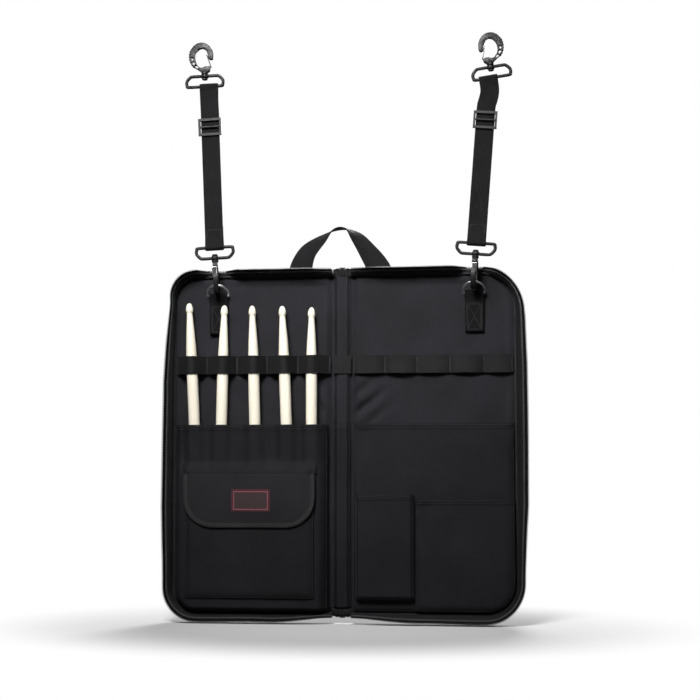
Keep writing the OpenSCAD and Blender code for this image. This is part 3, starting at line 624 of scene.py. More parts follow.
rim = {"rise": 20.0, "top": 6.6, "wobble": 0.8, "welt": 1.5, "piping": 1.6,
       "left": ((-229, -160, -87, 78, 129, 181, 221), (8.0, 8.6, 10.6, 9.4, 5.9, 1.4, 1.0)),
       "right": ((-229, -170, -120, -87, 100, 160, 200, 221), (8.0, 9.5, 12.0, 14.2, 14.2, 12.0, 8.0, 6.5))}


# Lean and rise of the wall at each place: uneven down the side, narrow at the spine, pressed flat under the strap.
def rimShape(side):
    u, v, nu, nv = rimStations(side)
    aside = np.interp(v, *rim[side])
    bottom = 3.0 + 6.0 * smooth(u / 90)
    lean = np.where(nv > 0, aside + (rim["top"] - aside) * nv, aside - (bottom - aside) * nv)
    pressed = np.where(nv > 0.9, 1 - smooth((np.abs(u + seamX - ringX[side]) - 8) / 22), 0) * 0.97
    rise = rim["rise"] * (0.6 + 0.4 * smooth(u / 40)) * (1 - 1.12 * pressed)
    lean = lean + rim["wobble"] * ripple(u, v, 31 if side == "left" else 47, 140) * smooth(u / 30)
    rise = rise + 0.6 * ripple(u, v, 32 if side == "left" else 48, 90) * smooth(u / 30) * (1 - pressed)
    return u, v, nu, nv, lean, rise, pressed


# A place that lies out beyond the panel's edge, at depth y.
def rimPoint(side, shape, out, y):
    u, v, nu, nv = shape[:4]
    return onLeaf(side, seamX + u + out * nu, y + 0 * u, v + out * nv)


# A place at a share of the way up the wall's slope, offset behind its face.
def wallPoint(side, shape, share, offset):
    lean, rise = shape[4:6]
    slope = np.hypot(lean, rise)
    return rimPoint(side, shape, 0.3 + share * lean + offset * rise / slope,
            leaf["lining"] - share * rise + offset * lean / slope)


# Map of a swept section in millimetres: across by the section's own length, along by the path's.
def ringUv(rings):
    around = np.linalg.norm(np.diff(rings, axis=1, append=rings[:, :1]), axis=2).cumsum(1)
    along = np.linalg.norm(np.diff(rings.mean(1), axis=0, prepend=rings.mean(1)[:1]), axis=1).cumsum()
    return np.stack([around, np.broadcast_to(along[:, None], around.shape)], 2).reshape(-1, 2)


def rims():
    for side in ("left", "right"):
        shape = rimShape(side)
        pressed = shape[6]
        inner = [(f, -2.6 * math.sin(math.pi * (f / 0.72) ** 0.8))
                for f in (0, 0.07, 0.15, 0.24, 0.34, 0.44, 0.54, 0.64, 0.715)]
        outer = [(f, 1.6 + 2.2 * math.sin(math.pi * f / 0.72)) for f in (0.715, 0.62, 0.5, 0.38, 0.26, 0.14)]
        rings = [wallPoint(side, shape, f, o * (1 - pressed)) for f, o in inner]
        rings += [wallPoint(side, shape, f, o - (o - 1.6) * pressed) for f, o in outer]
        rings += [rimPoint(side, shape, o, y) for o, y in ((2.1, 23.2), (2.4, 25.2), (2.3, 27.6), (1.9, 29.5),
                (0.35, 29.6), (0.35, 22.9))]
        rings = np.stack(rings, 1)
        points, faces = throughRings(rings)
        makePiece(side + "Wall", points, faces, "outer", side + "_leaf", (side + "_soft_wall",))

        # binding that covers the seam between the lining and the wall
        out = rimPoint(side, shape, 0.0, 0.0) * 0 + np.stack([sideOf[side] * shape[2], 0 * shape[2],
                shape[3]], 1)
        back = np.broadcast_to(np.array([0.0, 1.0, 0.0]), out.shape)
        points, faces, uv = sweep(rimPoint(side, shape, 0.1, leaf["lining"] + 0.4), out, back,
                circle(rim["welt"], 10) * [1.25, 1.0])
        makePiece(side + "Welt", points, faces, "binding", side + "_leaf")

        # rounded cord over the seam between the wall and the tape, in a cloth lighter and sheenier than the wall:
        # painted highlight of the rolled seam
        centre = wallPoint(side, shape, 0.66, -0.1)
        across, face = pathFrames(centre, unit(wallPoint(side, shape, 0.8, 0)
                - wallPoint(side, shape, 0.5, 0)))
        points, faces, uv = sweep(centre, across, face, circle(1.25, 10) * [1.2, 1.0])
        makePiece(side + "RimCord", points, faces, "highlightCordCloth", side + "_leaf")

        far = 0.93 + 0.07 * pressed
        tape = [(0.69, 0.5), (0.80, 0.35), (far, 0.2), (far, 1.1), (0.80, 1.35), (0.69, 1.5)]
        rings = np.stack([wallPoint(side, shape, f, o) for f, o in tape], 1)
        points, faces = throughRings(rings)
        makePiece(side + "ZipTape", points, faces, "tape", side + "_leaf", (side + "_zip_half",),
                uv=ringUv(rings))
        teeth(side, shape)

        path = rimPoint(side, shape, 0.3 + rim["piping"], leaf["back"] + rim["piping"])
        points, faces, uv = sweep(path, out, back, circle(rim["piping"], 12))
        makePiece(side + "Piping", points, faces, "binding", side + "_leaf", (side + "_piping",))
    print("rims ready")


# Small tapered blocks at even steps along the tape's edge: eight corners each, set by three directions.
def teeth(side, shape):
    look = {"pitch": 2.1, "wide": 1.35, "long": 3.4, "thick": 2.3}
    low, high = wallPoint(side, shape, 0.90 - 0.12 * shape[6], 0.65), wallPoint(side, shape,
            1.0 - 0.12 * shape[6], 0.45)
    reach = np.concatenate([[0], np.cumsum(np.linalg.norm(np.diff(low, axis=0), axis=1))])
    at = np.arange(look["pitch"], reach[-1] - 1, look["pitch"])
    foot, tip, ahead = (np.stack([np.interp(at + d, reach, line[:, k]) for k in range(3)], 1)
                        for line, d in ((low, 0), (high, 0), (low, 0.8)))
    long, wide = unit(tip - foot), unit(ahead - foot)
    thick = np.cross(long, wide)
    a, b, c = np.meshgrid([0.0, 1.0], [-0.5, 0.5], [-0.5, 0.5], indexing="ij")
    a, b, c = a.ravel(), b.ravel(), c.ravel()
    taper = 1 - 0.3 * a
    points = (foot[:, None] + long[:, None] * (a * look["long"])[None, :, None]
              + wide[:, None] * (b * taper * look["wide"])[None, :, None] + thick[:,
                      None] * (c * taper * look["thick"])[None, :, None])
    quads = np.array([[0, 1, 3, 2], [4, 6, 7, 5], [0, 4, 5, 1], [2, 3, 7, 6], [0, 2, 6, 4], [1, 5, 7, 3]])
    faces = [(quads[None] + (np.arange(len(at)) * 8)[:, None, None]).reshape(-1, 4)]
    makePiece(side + "ZipTeeth", points.reshape(-1, 3), faces, "teeth", side + "_leaf", sharp=30)


rims()


# Pockets
sticks = [(202.8, 3.0), (160.2, -1.05), (118.5, 1.65), (76.8, 2.3),
        (39.9, 0.1)]   # place at the band, lean in degrees

pockets = {
    "stickPocket": {"side": "left", "x0": 18.0, "x1": None, "low": -226.5, "high": 20.0, "base": 22.0,
            "depth": 18.3,
        "edges": (13, 13, 6), "ripple": 0.5, "seed": 61, "node": "stick_pocket"},
    "flapPocket": {"side": "left", "x0": 34.8, "x1": 207.8, "low": -209.5, "high": -53.5, "base": 3.7,
            "depth": 5.2,
        "edges": (15, 15, 13), "ripple": 0.35, "seed": 64, "node": "flap_pocket"},
    "upperPocket": {"side": "right", "x0": 15.0, "x1": None, "low": -226.5, "high": 21.5, "base": 22.0,
            "depth": 5.2,
        "edges": (10, 12, 10), "ripple": 0.55, "seed": 67, "node": "upper_pocket"},
    "middlePocket": {"side": "right", "x0": 98.0, "x1": None, "low": -225.5, "high": -78.5, "base": 16.6,
            "depth": 5.2,
        "edges": (12, 14, 12), "ripple": 0.45, "seed": 70, "node": "middle_pocket"},
    "boxPocket": {"side": "right", "x0": 19.0, "x1": 97.0, "low": -211.0, "high": -73.0, "base": 16.6,
            "depth": 10.0,
        "edges": (5, 7, 7), "ripple": 0.3, "seed": 73, "node": "box_pocket"},
}


def pocketEnd(p, v):
    return leafOut(p["side"], v, 2.5) if p["x1"] is None else np.full_like(v, p["x1"])


# Depth of a pocket's outer face: its base less the full depth, rounded off at the sewn edges and sagging between.
def pocketFront(name, x, v):
    p = pockets[name]
    rise = quarter(x - p["x0"], p["edges"][0]) * quarter(pocketEnd(p, v) - x,
            p["edges"][1]) * quarter(v - p["low"], p["edges"][2])
    depth = p["depth"] * np.ones_like(x)
    calm = smooth((p["high"] - v) / 10) * smooth((v - p["low"]) / 25)
    depth = depth - p["ripple"] * (1 + ripple(x, v, p["seed"], 85)) * 0.8 * calm
    if name == "stickPocket":
        near = np.zeros_like(x)
        for place, lean in sticks:
            centre = place - math.tan(math.radians(lean)) * (100.5 - v)
            near = np.maximum(near, 1 - smooth((np.abs(x - centre) - 5) / 11))
        above = smooth((v + 46) / 22)
        depth = depth - (1 - near) * (0.5 + 3.2 * above)
        depth = np.maximum(depth, near * 17.9)
    if name in ("upperPocket", "middlePocket"):
        # a shallow fold runs down beside the spine, and the edge sags open in the middle
        fade = np.exp(-((x - p["x0"] - 14 + (p["high"] - v) * 0.12) / 9) ** 2) * smooth((p["high"] - v)
                / 12) * smooth((v - p["high"] + 90) / 60)
        depth = depth - 1.5 * fade
        depth = depth - 1.6 * (1 - smooth((p["high"] - v) / 30)) * (1
                - np.sin(math.pi * np.clip((x - p["x0"]) / (222 - p["x0"]), 0, 1)) ** 0.6)
    if name == "boxPocket":
        q = (x - p["x0"]) / (p["x1"] - p["x0"])
        depth = depth - 2.2 * smooth((v - p["high"] + 40) / 40) * (1 - 4 * q * (1 - q))
    if name == "flapPocket":
        depth = depth - 1.2 * smooth((-130 - v) / 70)
    return p["base"] - np.maximum(depth, 0.4) * rise


def pocketPieces():
    look = {"cloth": 1.0, "hem": 0.5, "hemWidth": 6.8}
    rows = {}
    for name, p in pockets.items():
        v = leafRows(p["side"], p["low"], p["high"] - 0.001, 96)[None, :]
        end = pocketEnd(p, v)
        x = p["x0"] + (end - p["x0"]) * spaced(84)[:, None]
        v = np.broadcast_to(v, x.shape)
        front = pocketFront(name, x, v)
        hem = look["hem"] * smooth((v - p["high"] + look["hemWidth"] + 0.7) / 0.8) * quarter(x - p["x0"],
                6) * quarter(pocketEnd(p, v) - x, 6)
        top = 1.2 * np.sin(math.pi * spaced(84))[:, None] * smooth((v - p["high"] + 12)
                / 12) if name == "boxPocket" else 0
        back = np.minimum(front + look["cloth"], p["base"] + 0.15)
        front = front - hem
        sheetPiece(name, onLeaf(p["side"], x, front, v + top), onLeaf(p["side"], x, back, v + top), "pocket",
                p["side"] + "_leaf", (p["node"],))
        # two seams on the hem, one along the sewn edges
        lines = rows.setdefault(p["side"], [])
        across = np.linspace(p["x0"] + 3, float(pocketEnd(p, np.array(p["high"]))) - 3, 80)
        for drop in (2.2, look["hemWidth"] - 1.2):
            level = np.full_like(across, p["high"] - drop)
            lift = 1.2 * np.sin(math.pi * np.linspace(0, 1, 80)) * (1 if name == "boxPocket" else 0)
            lines.append((onLeaf(p["side"], across, pocketFront(name, across, level) - look["hem"] - 0.1,
                    level + lift), forward))
        down = np.linspace(p["low"] + 3, p["high"] - 3, 90)
        for place, inset in ((p["x0"] + 1.6, 0), (None, 1.6)):
            edge = np.full_like(down, place) if place else pocketEnd(p, down) - inset
            lines.append((onLeaf(p["side"], edge, pocketFront(name, edge, down) - 0.1, down), forward))
        across = np.linspace(p["x0"] + 3, float(pocketEnd(p, np.array(p["low"] + 1.8))) - 3, 80)
        level = np.full_like(across, p["low"] + 1.8)
        lines.append((onLeaf(p["side"], across, pocketFront(name, across, level) - 0.1, level), forward))
    for side, lines in rows.items():
        stitchRows(side + "PocketStitches", lines, side + "_leaf")
    print("pockets ready")


pocketPieces()


# Flap with its padded root, bound edge and bare label
flapLook = {"x0": 33.8, "x1": 208.8, "high": -44.5, "low": -115.5, "radius": 38.0, "face": -3.3, "crown": 1.5,
        "binding": 7.0}


# How far the rounded lower corners draw in at height v.
def flapInset(v):
    r = flapLook["radius"]
    over = np.clip(flapLook["low"] + r - v, 0, r)
    return r - np.sqrt(np.maximum(r * r - over * over, 0))


# Crowned face: flat at the hinge, fullest a third of the way down, a little proud at the lower edge.
def flapFront(x, v):
    t = (flapLook["high"] - v) / (flapLook["high"] - flapLook["low"])
    q = (x - flapLook["x0"]) / (flapLook["x1"] - flapLook["x0"])
    return flapLook["face"] - flapLook["crown"] * np.sin(math.pi * np.clip(t * 0.8 + 0.1, 0, 1)) * (1
            - (2 * q - 1) ** 4) \
        - 0.25 * ripple(x, v, 90, 60)


# The flap's edge drawn in by inset, from one upper corner down and round to the other.
def flapOutline(inset, start):
    turn = np.linspace(0, math.pi / 2, 20)
    x0, x1, low = flapLook["x0"] + inset, flapLook["x1"] - inset, flapLook["low"] + inset
    r = flapLook["radius"] - inset
    side = np.linspace(flapLook["high"] - start, low + r, 14)[:-1]
    bottom = np.linspace(x0 + r, x1 - r, 40)[1:-1]
    x = [np.full(13, x0), x0 + r - r * np.cos(turn), bottom, x1 - r + r * np.sin(turn), np.full(13, x1)]
    v = [side, low + r - r * np.sin(turn), np.full(len(bottom), low), low + r - r * np.cos(turn), side[::-1]]
    return np.concatenate(x), np.concatenate(v)


def flapPieces():
    r = flapLook["radius"]
    bend = flapLook["low"] + r - r * np.sin(np.linspace(0, math.pi / 2, 18))
    v = np.unique(np.concatenate([np.linspace(flapLook["low"] + r, flapLook["high"] - 0.5, 26), bend]))[None,
            :]
    inset = flapInset(v)
    x = flapLook["x0"] + inset + (flapLook["x1"] - flapLook["x0"] - 2 * inset) * spaced(90, 0.4)[:, None]
    v = np.broadcast_to(v, x.shape)
    front = flapFront(x, v)
    sheetPiece("flapCloth", onLeaf("left", x, front, v), onLeaf("left", x, front + 1.2, v), "lining", "flap",
            ("flap",))

    # binding: a flat tape folded over the edge, carried round the outline
    inset = 2.6
    px, pv = flapOutline(inset, 0.6)
    path = onLeaf("left", px, flapFront(px, pv) + 0.35, pv)
    hint = np.array([0.0, 1.0, 0.0])
    face, across = pathFrames(path, hint)
    points, faces, uv = sweep(path, across, face, roundedFlat(6.4, 2.7, 20, 0.5))
    makePiece("flapBinding", points, faces, "binding", "flap")
    rows = []
    for d in (1.9, 4.6):
        sx, sv = flapOutline(inset + d, 3)
        rows.append((onLeaf("left", sx, flapFront(sx, sv) - (1.0 if d < 2.5 else 0.1), sv), forward))
    top = np.linspace(flapLook["x0"] + 4, flapLook["x1"] - 4, 60)
    rows.append((onLeaf("left", top, flapFront(top, np.full_like(top, -47.0)) - 0.1,
            np.full_like(top, -47.0)), forward))
    lx, lv = boxLine(93.5, 143.0, -94.2, -66.4, 90)
    rows.append((onLeaf("left", lx, flapFront(lx, lv) - 0.75, lv), forward))
    stitchRows("flapStitches", rows, "flap", pitch=3.0, length=2.2, radius=0.28)

    # padded root above the hinge, filling the step down to the stick pocket
    v = np.linspace(-44.9, -27.0, 26)[None, :]
    x = 30.0 + (212.6 - 30.0) * spaced(70, 0.5)[:, None] + 0 * v
    v = np.broadcast_to(v, x.shape)
    t = (v + 44.9) / 17.9
    q = (x - 30.0) / 182.6
    fat = quarter(q, 0.08) * quarter(1 - q, 0.08)
    face = pocketFront("stickPocket", x, v) + 0.6 - (6.1 * (1 - smooth(t * 1.02)) ** 0.8 + 0.6) * fat
    face = np.where(t > 0.999, pocketFront("stickPocket", x, v) + 0.5, face)
    sheetPiece("flapRoot", onLeaf("left", x, face, v), onLeaf("left", x,
            pocketFront("stickPocket", x, v) + 0.8, v), "pocket", "left_leaf")

    x = np.linspace(92.0, 144.5, 40)[:, None] + np.zeros((1, 24))
    v = np.linspace(-95.6, -65.0, 24)[None, :] + np.zeros((40, 1))
    soft = 0.35 * quarter(np.minimum(np.minimum(x - 92.0, 144.5 - x), np.minimum(v + 95.6, -65.0 - v)) + 0.05,
            1.2)
    front = flapFront(x, v) - 0.25 - soft
    flat = np.stack([144.5 - x, v + 95.6], -1).reshape(-1, 2)
    sheetPiece("labelPatch", onLeaf("left", x, front, v), onLeaf("left", x, flapFront(x, v) + 0.1, v),
            "label", "flap", ("label_patch",), uv=flat)
    print("flap ready")


flapPieces()


# Elastic bands
# Front and back of a band: the front lies one thickness outside the height it is given at each place.
def bandGrid(side, seams, heights, z, thick=1.2):
    x = np.broadcast_to(seams[:, None], heights.shape)
    zz = np.broadcast_to(z[None, :], heights.shape)
    return onLeaf(side, x, leaf["lining"] - heights - thick, zz), onLeaf(side, x,
            leaf["lining"] - heights + 0.05, zz)


def stickLoops():
    look = {"middle": 100.5, "width": 24.0, "thick": 1.2, "radius": 7.85, "stickY": 12.5}
    z = look["middle"] + look["width"] * (spaced(9, 0.3) - 0.5)
    seams = [225.5, 183.5, 142.5, 101.5, 59.5, 15.5][::-1]
    x = np.unique(np.concatenate([np.linspace(a, b, 34) for a, b in zip(seams[:-1], seams[1:])]))
    height = np.zeros((len(x), len(z)))
    up = leaf["lining"] - look["stickY"]
    for (place, lean), a, b in zip(sticks[::-1], seams[:-1], seams[1:]):
        centre = place - math.tan(math.radians(lean)) * (100.5 - z)[None, :]
        for edge, way in ((a + 1.2, 1.0), (b - 1.2, -1.0)):
            # straight from the seam to where it touches the stick, then round it
            gap = np.abs(centre - edge)
            far = np.hypot(gap, up)
            angle = np.arcsin(look["radius"] / far) + np.arctan2(up, gap)
            touch = gap - look["radius"] * np.sin(angle)
            run = (x[:, None] - edge) * way
            slope = run * np.tan(angle)
            over = up + np.sqrt(np.maximum(look["radius"] ** 2 - (x[:, None] - centre) ** 2, 0))
            h = np.where(run <= 0, 0, np.where(run < touch, slope, over))
            mine = (x[:, None] >= a) & (x[:, None] <= b) & ((x[:, None] - centre) * way <= 0)
            height = np.where(mine, h, height)
    front, back = bandGrid("left", x, height, z)
    run = np.concatenate([[0], np.cumsum(np.hypot(np.diff(x), np.diff(height[:, 4])))])
    uv = np.stack([np.broadcast_to(z[None, :], height.shape), np.broadcast_to(run[:, None], height.shape)],
            -1).reshape(-1, 2)
    sheetPiece("leftElastic", front, back, "elastic", "left_leaf", ("left_stick_loops",), uv=uv)

    empty = [15.5, 58.0, 100.8, 144.5, 189.4, 227.5]
    x = np.unique(np.concatenate([np.linspace(a, b, 26) for a, b in zip(empty[:-1], empty[1:])]))
    height = np.zeros((len(x), len(z)))
    for a, b, full in zip(empty[:-1], empty[1:], (3.6, 4.4, 3.4, 4.6, 3.2)):
        q = np.clip((x[:, None] - a - 1) / (b - a - 2), 0, 1)
        swell = full * np.clip(4 * q * (1 - q), 0, 1) ** 0.8 * (1 + 0.12 * np.sin((z[None, :] - 80) / 6))
        height = np.where((x[:, None] >= a) & (x[:, None] <= b), swell, height)
    front, back = bandGrid("right", x, height, z)
    run = np.concatenate([[0], np.cumsum(np.hypot(np.diff(x), np.diff(height[:, 4])))])
    uv = np.stack([np.broadcast_to(z[None, :], height.shape), np.broadcast_to(run[:, None], height.shape)],
            -1).reshape(-1, 2)
    sheetPiece("rightElastic", front, back, "elastic", "right_leaf", ("right_stick_loops",), uv=uv)

    for side, places in (("left", seams), ("right", empty)):
        rows = []
        for place in places:
            for d in (-0.6, 0.6):
                at = place + d + (0.8 if place == 15.5 else -0.8 if place > 220 else 0)
                up = np.linspace(look["middle"] - 11, look["middle"] + 11, 12)
                rows.append((onLeaf(side, np.full(12, at), np.full(12, leaf["lining"] - 1.75), up), forward))
        stitchRows(side + "BandStitches", rows, side + "_leaf", pitch=1.9, length=1.7, radius=0.42)
    print("elastic bands ready")


stickLoops()


# Spine: lining strip, cover, outer cloth and the folds beside it
def spinePieces():
    look = {"half": 12.35, "above": 5.5, "below": 9.5}
    s = np.linspace(-1, 1, 34)
    v = np.linspace(-leaf["top"], leaf["top"], 200)
    x = np.broadcast_to((s * look["half"])[:, None], (34, 200))
    vv = np.broadcast_to(v[None, :], x.shape)
    near = 1 - smooth((look["half"] - np.abs(x)) / 6.5)
    pucker = 0.55 * near * np.sin(vv / 5.2 + 2.2 * ripple(x, vv, 11, 70)) + 0.7 * ripple(x * 3.2, vv * 0.35,
            12, 40)
    front = leaf["lining"] + 0.4 + 4.8 * near + 0.5 * pucker
    front = np.maximum(front, leaf["lining"] + 0.05)
    sheetPiece("spineLining", np.stack([x, front, leaf["z"] + vv], -1),
            np.stack([x, np.full_like(x, 28.6), leaf["z"] + vv], -1), "lining", "spine", ("spine_lining",
                    "spine_foam"))

    # the pocket cloth runs on over the spine below the pockets' upper edge
    v = np.linspace(-leaf["top"] + 0.5, 21.5, 140)
    x = np.broadcast_to((s * look["half"])[:, None], (34, 140))
    vv = np.broadcast_to(v[None, :], x.shape)
    near = 1 - smooth((look["half"] - np.abs(x)) / 6.5)
    front = leaf["lining"] - 1.0 + 5.0 * near + 0.35 * ripple(x * 3.0, vv * 0.5, 14,
            36) - 0.4 * smooth((vv - 15.5) / 0.8)
    sheetPiece("spineCover", np.stack([x, front, leaf["z"] + vv], -1),
            np.stack([x, front + 0.9, leaf["z"] + vv], -1), "pocket", "spine", ("spine_cover",))

    z = 100.5 + 24.0 * (spaced(9, 0.3) - 0.5)
    x = np.broadcast_to((s * look["half"])[:, None], (34, 9))
    front = leaf["lining"] - 1.2 - 0.5 * (1 - (x / look["half"]) ** 2) + 0 * z
    zz = np.broadcast_to(z[None, :], x.shape)
    uv = np.stack([zz, x], -1).reshape(-1, 2)
    sheetPiece("spineElastic", np.stack([x, front, leaf["z"] + zz], -1),
            np.stack([x, front + 1.15, leaf["z"] + zz],
                    -1), "elastic", "spine", ("spine_band",), uv=uv)

    # outer cloth: up the back and folded over both ends
    v = np.concatenate([np.linspace(-leaf["top"] - look["below"], -leaf["top"], 12)[:-1],
            np.linspace(-leaf["top"], leaf["top"], 150),
                        np.linspace(leaf["top"], leaf["top"] + look["above"], 8)[1:]])
    x = np.broadcast_to((s * look["half"])[:, None], (34, len(v)))
    vv = np.broadcast_to(v[None, :], x.shape)
    over = smooth((np.abs(vv + 2.0) - leaf["top"]) / 5.0)
    outside = leaf["back"] + 0.25 * ripple(x * 2, vv, 15, 60) - 0.8 * (1
            - smooth((look["half"] - np.abs(x)) / 2.5)) \
        - 2.4 * over
    inside = leaf["back"] - 1.0 - 6.4 * smooth((np.abs(vv + 2.0) - leaf["top"] + 1.0) / 1.5) * (1 + 0.08
            * np.sin(x * 1.4))
    sheetPiece("spineShell", np.stack([x, inside, leaf["z"] + vv], -1),
            np.stack([x, outside, leaf["z"] + vv], -1), "shell", "spine", ("spine_shell",))

    # the soft wall runs on over both ends of the spine, gathered into puckers
    for name, level, way, reach in (("SpineRimTop", leaf["top"], 1.0, 9.6),
            ("SpineRimBottom", -leaf["bottom"], -1.0, 4.6)):
        s3 = np.linspace(-1, 1, 44)[:, None]
        arc = np.linspace(0, 1, 26)[None, :]
        pleat = np.sin(s3 * 11.0 + 1.3 * np.sin(arc * 4.0)) * np.sin(math.pi * arc) ** 0.7
        side = 1 - smooth((1 - np.abs(s3)) / 0.22)
        bend = math.pi * arc
        y = 25.8 - (3.4 - 0.4 * side) * np.cos(bend) - 0.5 * pleat * np.sin(bend)
        out = level - way * 2.0 + way * (reach + 2.0 - 0.5 * side + 0.5 * pleat) * np.sin(bend) ** 0.8
        x = s3 * 12.4 + 0 * arc
        points, faces = closedSheet(np.stack([x, y + 0 * x, leaf["z"] + out + 0 * x], -1),
                                    np.stack([x, 25.8 + (y - 25.8) * 0.6 + 0 * x,
                                            leaf["z"] + level - way * 2.0 + (out - level + way
                                                    * 2.0) * 0.6 + 0 * x], -1))
        makePiece(name, points, faces, "tape", "spine",
                uv=np.tile(np.stack([x, out + 0 * x], -1).reshape(-1, 2), (2, 1)))

    # folds that join the spine to the leaves, front and back
    for side in ("left", "right"):
        for name, depth, sign, wide in (("FoldFront", leaf["lining"] + 5.0, -1, 4.0),
                ("FoldBack", leaf["back"] - 0.6, 1, 8.0)):
            s2 = np.linspace(-1, 1, 15)
            v = np.linspace(-leaf["bottom"] + 0.8, leaf["top"] - 0.3, 120)
            x = np.broadcast_to((seamX + s2 * wide / 2)[:, None], (15, 120))
            vv = np.broadcast_to(v[None, :], x.shape)
            swell = (1 - s2[:, None] ** 2) * (0.9 if sign > 0 else 0.5) + 0.12 * np.sin(vv / 3.1) * (1
                    - s2[:, None] ** 2)
            face = depth + sign * swell
            piece = sheetPiece(side + name, onLeaf(side, x, face, vv), onLeaf(side, x, face - sign * 0.5, vv),
                    "outer" if sign > 0 else "lining")
            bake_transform(piece)
    rows = []
    for x in (-10.2, 10.2):
        up = np.linspace(24, leaf["top"] - 3, 90)
        rows.append((np.stack([np.full(90, x), np.full(90, leaf["lining"] + 1.2), leaf["z"] + up], 1),
                forward))
        up = np.linspace(-leaf["top"] + 3, 20, 90)
        rows.append((np.stack([np.full(90, x), np.full(90, leaf["lining"] - 0.75), leaf["z"] + up], 1),
                forward))
        up = np.linspace(-leaf["top"], leaf["top"], 180)
        rows.append((np.stack([np.full(180, x), np.full(180, leaf["back"] + 0.1), leaf["z"] + up], 1),
                backward))
    across = np.linspace(-11, 11, 12)
    for level in (19.4, 16.2):
        rows.append((np.stack([across, np.full(12, leaf["lining"] - 1.45), np.full(12, leaf["z"] + level)],
                1), forward))
    stitchRows("spineStitches", rows, "spine")
    print("spine ready")


spinePieces()


# Handle: two strands that meet over the spine
def handlePieces():
    look = {"apex": 26.0, "base": 32.0, "thick": 2.0, "steps": 10, "meet": -3.0}
    line = [[-57, 1.4, -46, 0], [-57, 1.4, -24, 0], [-58, 5.4, 2, 0], [-57, 6.4, 16, 6], [-48.5, 8, 35, 22],
            [-30, 9.5, 52, 52],
            [-13, 10.5, 65, 84], [4, 10.5, 66, 84], [18, 9.5, 55, 52], [33, 8, 35, 26], [46, 6.4, 15, 8], [51,
                    5.4, 2, 0],
            [51.5, 1.4, -24, 0], [51.5, 1.4, -46, 0]]
    curve = throughPoints(line, look["steps"])
    tangent = unit(np.gradient(curve[:, :3], axis=0))
    flat = unit(np.cross(tangent, [0.0, 1.0, 0.0]))
    turn = np.radians(curve[:, 3:])
    across = flat * np.cos(turn) - np.cross(tangent, flat) * np.sin(turn)
    face = np.cross(tangent, across)
    path = curve[:, :3] + [0, leaf["back"], leaf["z"] + leaf["top"]]
    split = int(np.argmin(np.abs(path[:, 0] - look["meet"]) + 1e3
            * (path[:, 2] < leaf["z"] + leaf["top"] + 40)))
    wide = look["base"] + (look["apex"] - look["base"]) * smooth((path[:, 2] - leaf["z"] - leaf["top"] - 2)
            / 45)
    section = roundedFlat(1.0, look["thick"], 22, 0.4)[None] * np.stack([wide, np.ones_like(wide)], 1)[:,
            None]
    for side, cut, pair in (("left", slice(0, split + 1), ("left_leaf", "spine")),
            ("right", slice(split, None), ("right_leaf", "spine"))):
        points, faces, uv = sweep(path[cut], across[cut], face[cut], section[cut])
        piece = makePiece(side + "Handle", points, faces, "webbing", uv=uv)
        if side == "left":
            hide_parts("handle")
        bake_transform(piece)
    for side, x in (("left", -57.0), ("right", 51.5)):
        rows = []
        for w, low, high in ((10.5, -43.0, -14.0), (8.5, -41.0, -16.0)):
            px, pv = boxLine(x - w, x + w, low, high, 60)
            y = leaf["back"] + np.interp(pv, [-46, -24, -14], [2.6, 2.6, 4.1])
            rows.append((np.stack([px, y, leaf["z"] + leaf["top"] + pv], 1), backward))
        stitchRows(side + "HandleStitches", rows, side + "_leaf", pitch=3.0, length=2.2)
    print("handle ready")


handlePieces()


# Tabs that hold the rings
# Webbing up from its end, over the ring's bar and down in front: two straight layers joined round a half circle.
def tabPiece(name, x, barY, barZ, drop, back, flip, body, stands=()):
    turn = np.radians(np.linspace(-25, 205, 22))
    layer = [(back - 0.75, -drop), (back - 0.75, -drop / 2), (back - 0.75, -11), (back - 0.9, -5.5)]
    hoop = np.stack([2.55 * np.cos(turn), 2.55 * np.sin(turn)], 1)
    down = [(back - 2.9, -7.5), (back - 2.3, -12), (back - 2.25, -drop / 2), (back - 2.25, -drop + 0.4)]
    line = np.concatenate([throughPoints(layer, 5), hoop, throughPoints(down, 6)])
    sign = -1.0 if flip else 1.0
    path = np.stack([np.full(len(line), x), barY + sign * line[:, 0], barZ + sign * line[:, 1]], 1)
    across, face = pathFrames(path, np.array([1.0, 0.0, 0.0]))
    points, faces, uv = sweep(path, across, face, roundedFlat(25.0, 1.4, 20, 0.4))
    makePiece(name, points, faces, "tabWeb", body, stands, uv=uv)
    rows = []
    y = barY + sign * (back - 3.05)
    for w, top in ((10.0, -14.0), (8.2, -15.8)):
        px, pz = boxLine(x - w, x + w, -drop + 3, top, 70)
        rows.append((np.stack([px, np.full(70, y), barZ + sign * pz], 1), (0, -sign, 0)))
    for a, b in (((-8.2, -drop + 4.6), (8.2, -15.8)), ((8.2, -drop + 4.6), (-8.2, -15.8))):
        rows.append((np.array([[x + a[0], y, barZ + sign * a[1]], [x + b[0], y, barZ + sign * b[1]]]),
                (0, -sign, 0)))
    stitchRows(name + "Stitches", rows, body, pitch=2.8, length=2.1)


barZ = -337.738
tabPiece("leftTab", -168.0, 18.5, barZ, 52.0, 3.5, False, "left_leaf", ("left_tab",))
tabPiece("rightTab", 177.0, 18.5, barZ, 52.0, 3.5, False, "right_leaf", ("right_tab",))
tabPiece("backTabTop", 175.0, 35.1, leaf["z"] + 181.0, 34.0, 5.1, True, "right_leaf", ("back_tabs",))
tabPiece("backTabBottom", 175.0, 35.1, leaf["z"] - 218.5, 34.0, 5.1, True, "right_leaf", ("back_tabs",))
print("tabs ready")


# Straps, loops and clips
strapLook = {"left": {"lean": -2.5, "topLean": -1.5, "shift": -5.5, "mirror": 1.0},
             "right": {"lean": 4.5, "topLean": -8.0, "shift": 5.5, "mirror": -1.0}}
contactZ, swivelUp, loopDrop, webSpan = -325.278, 36.7, 14.0, 222.0


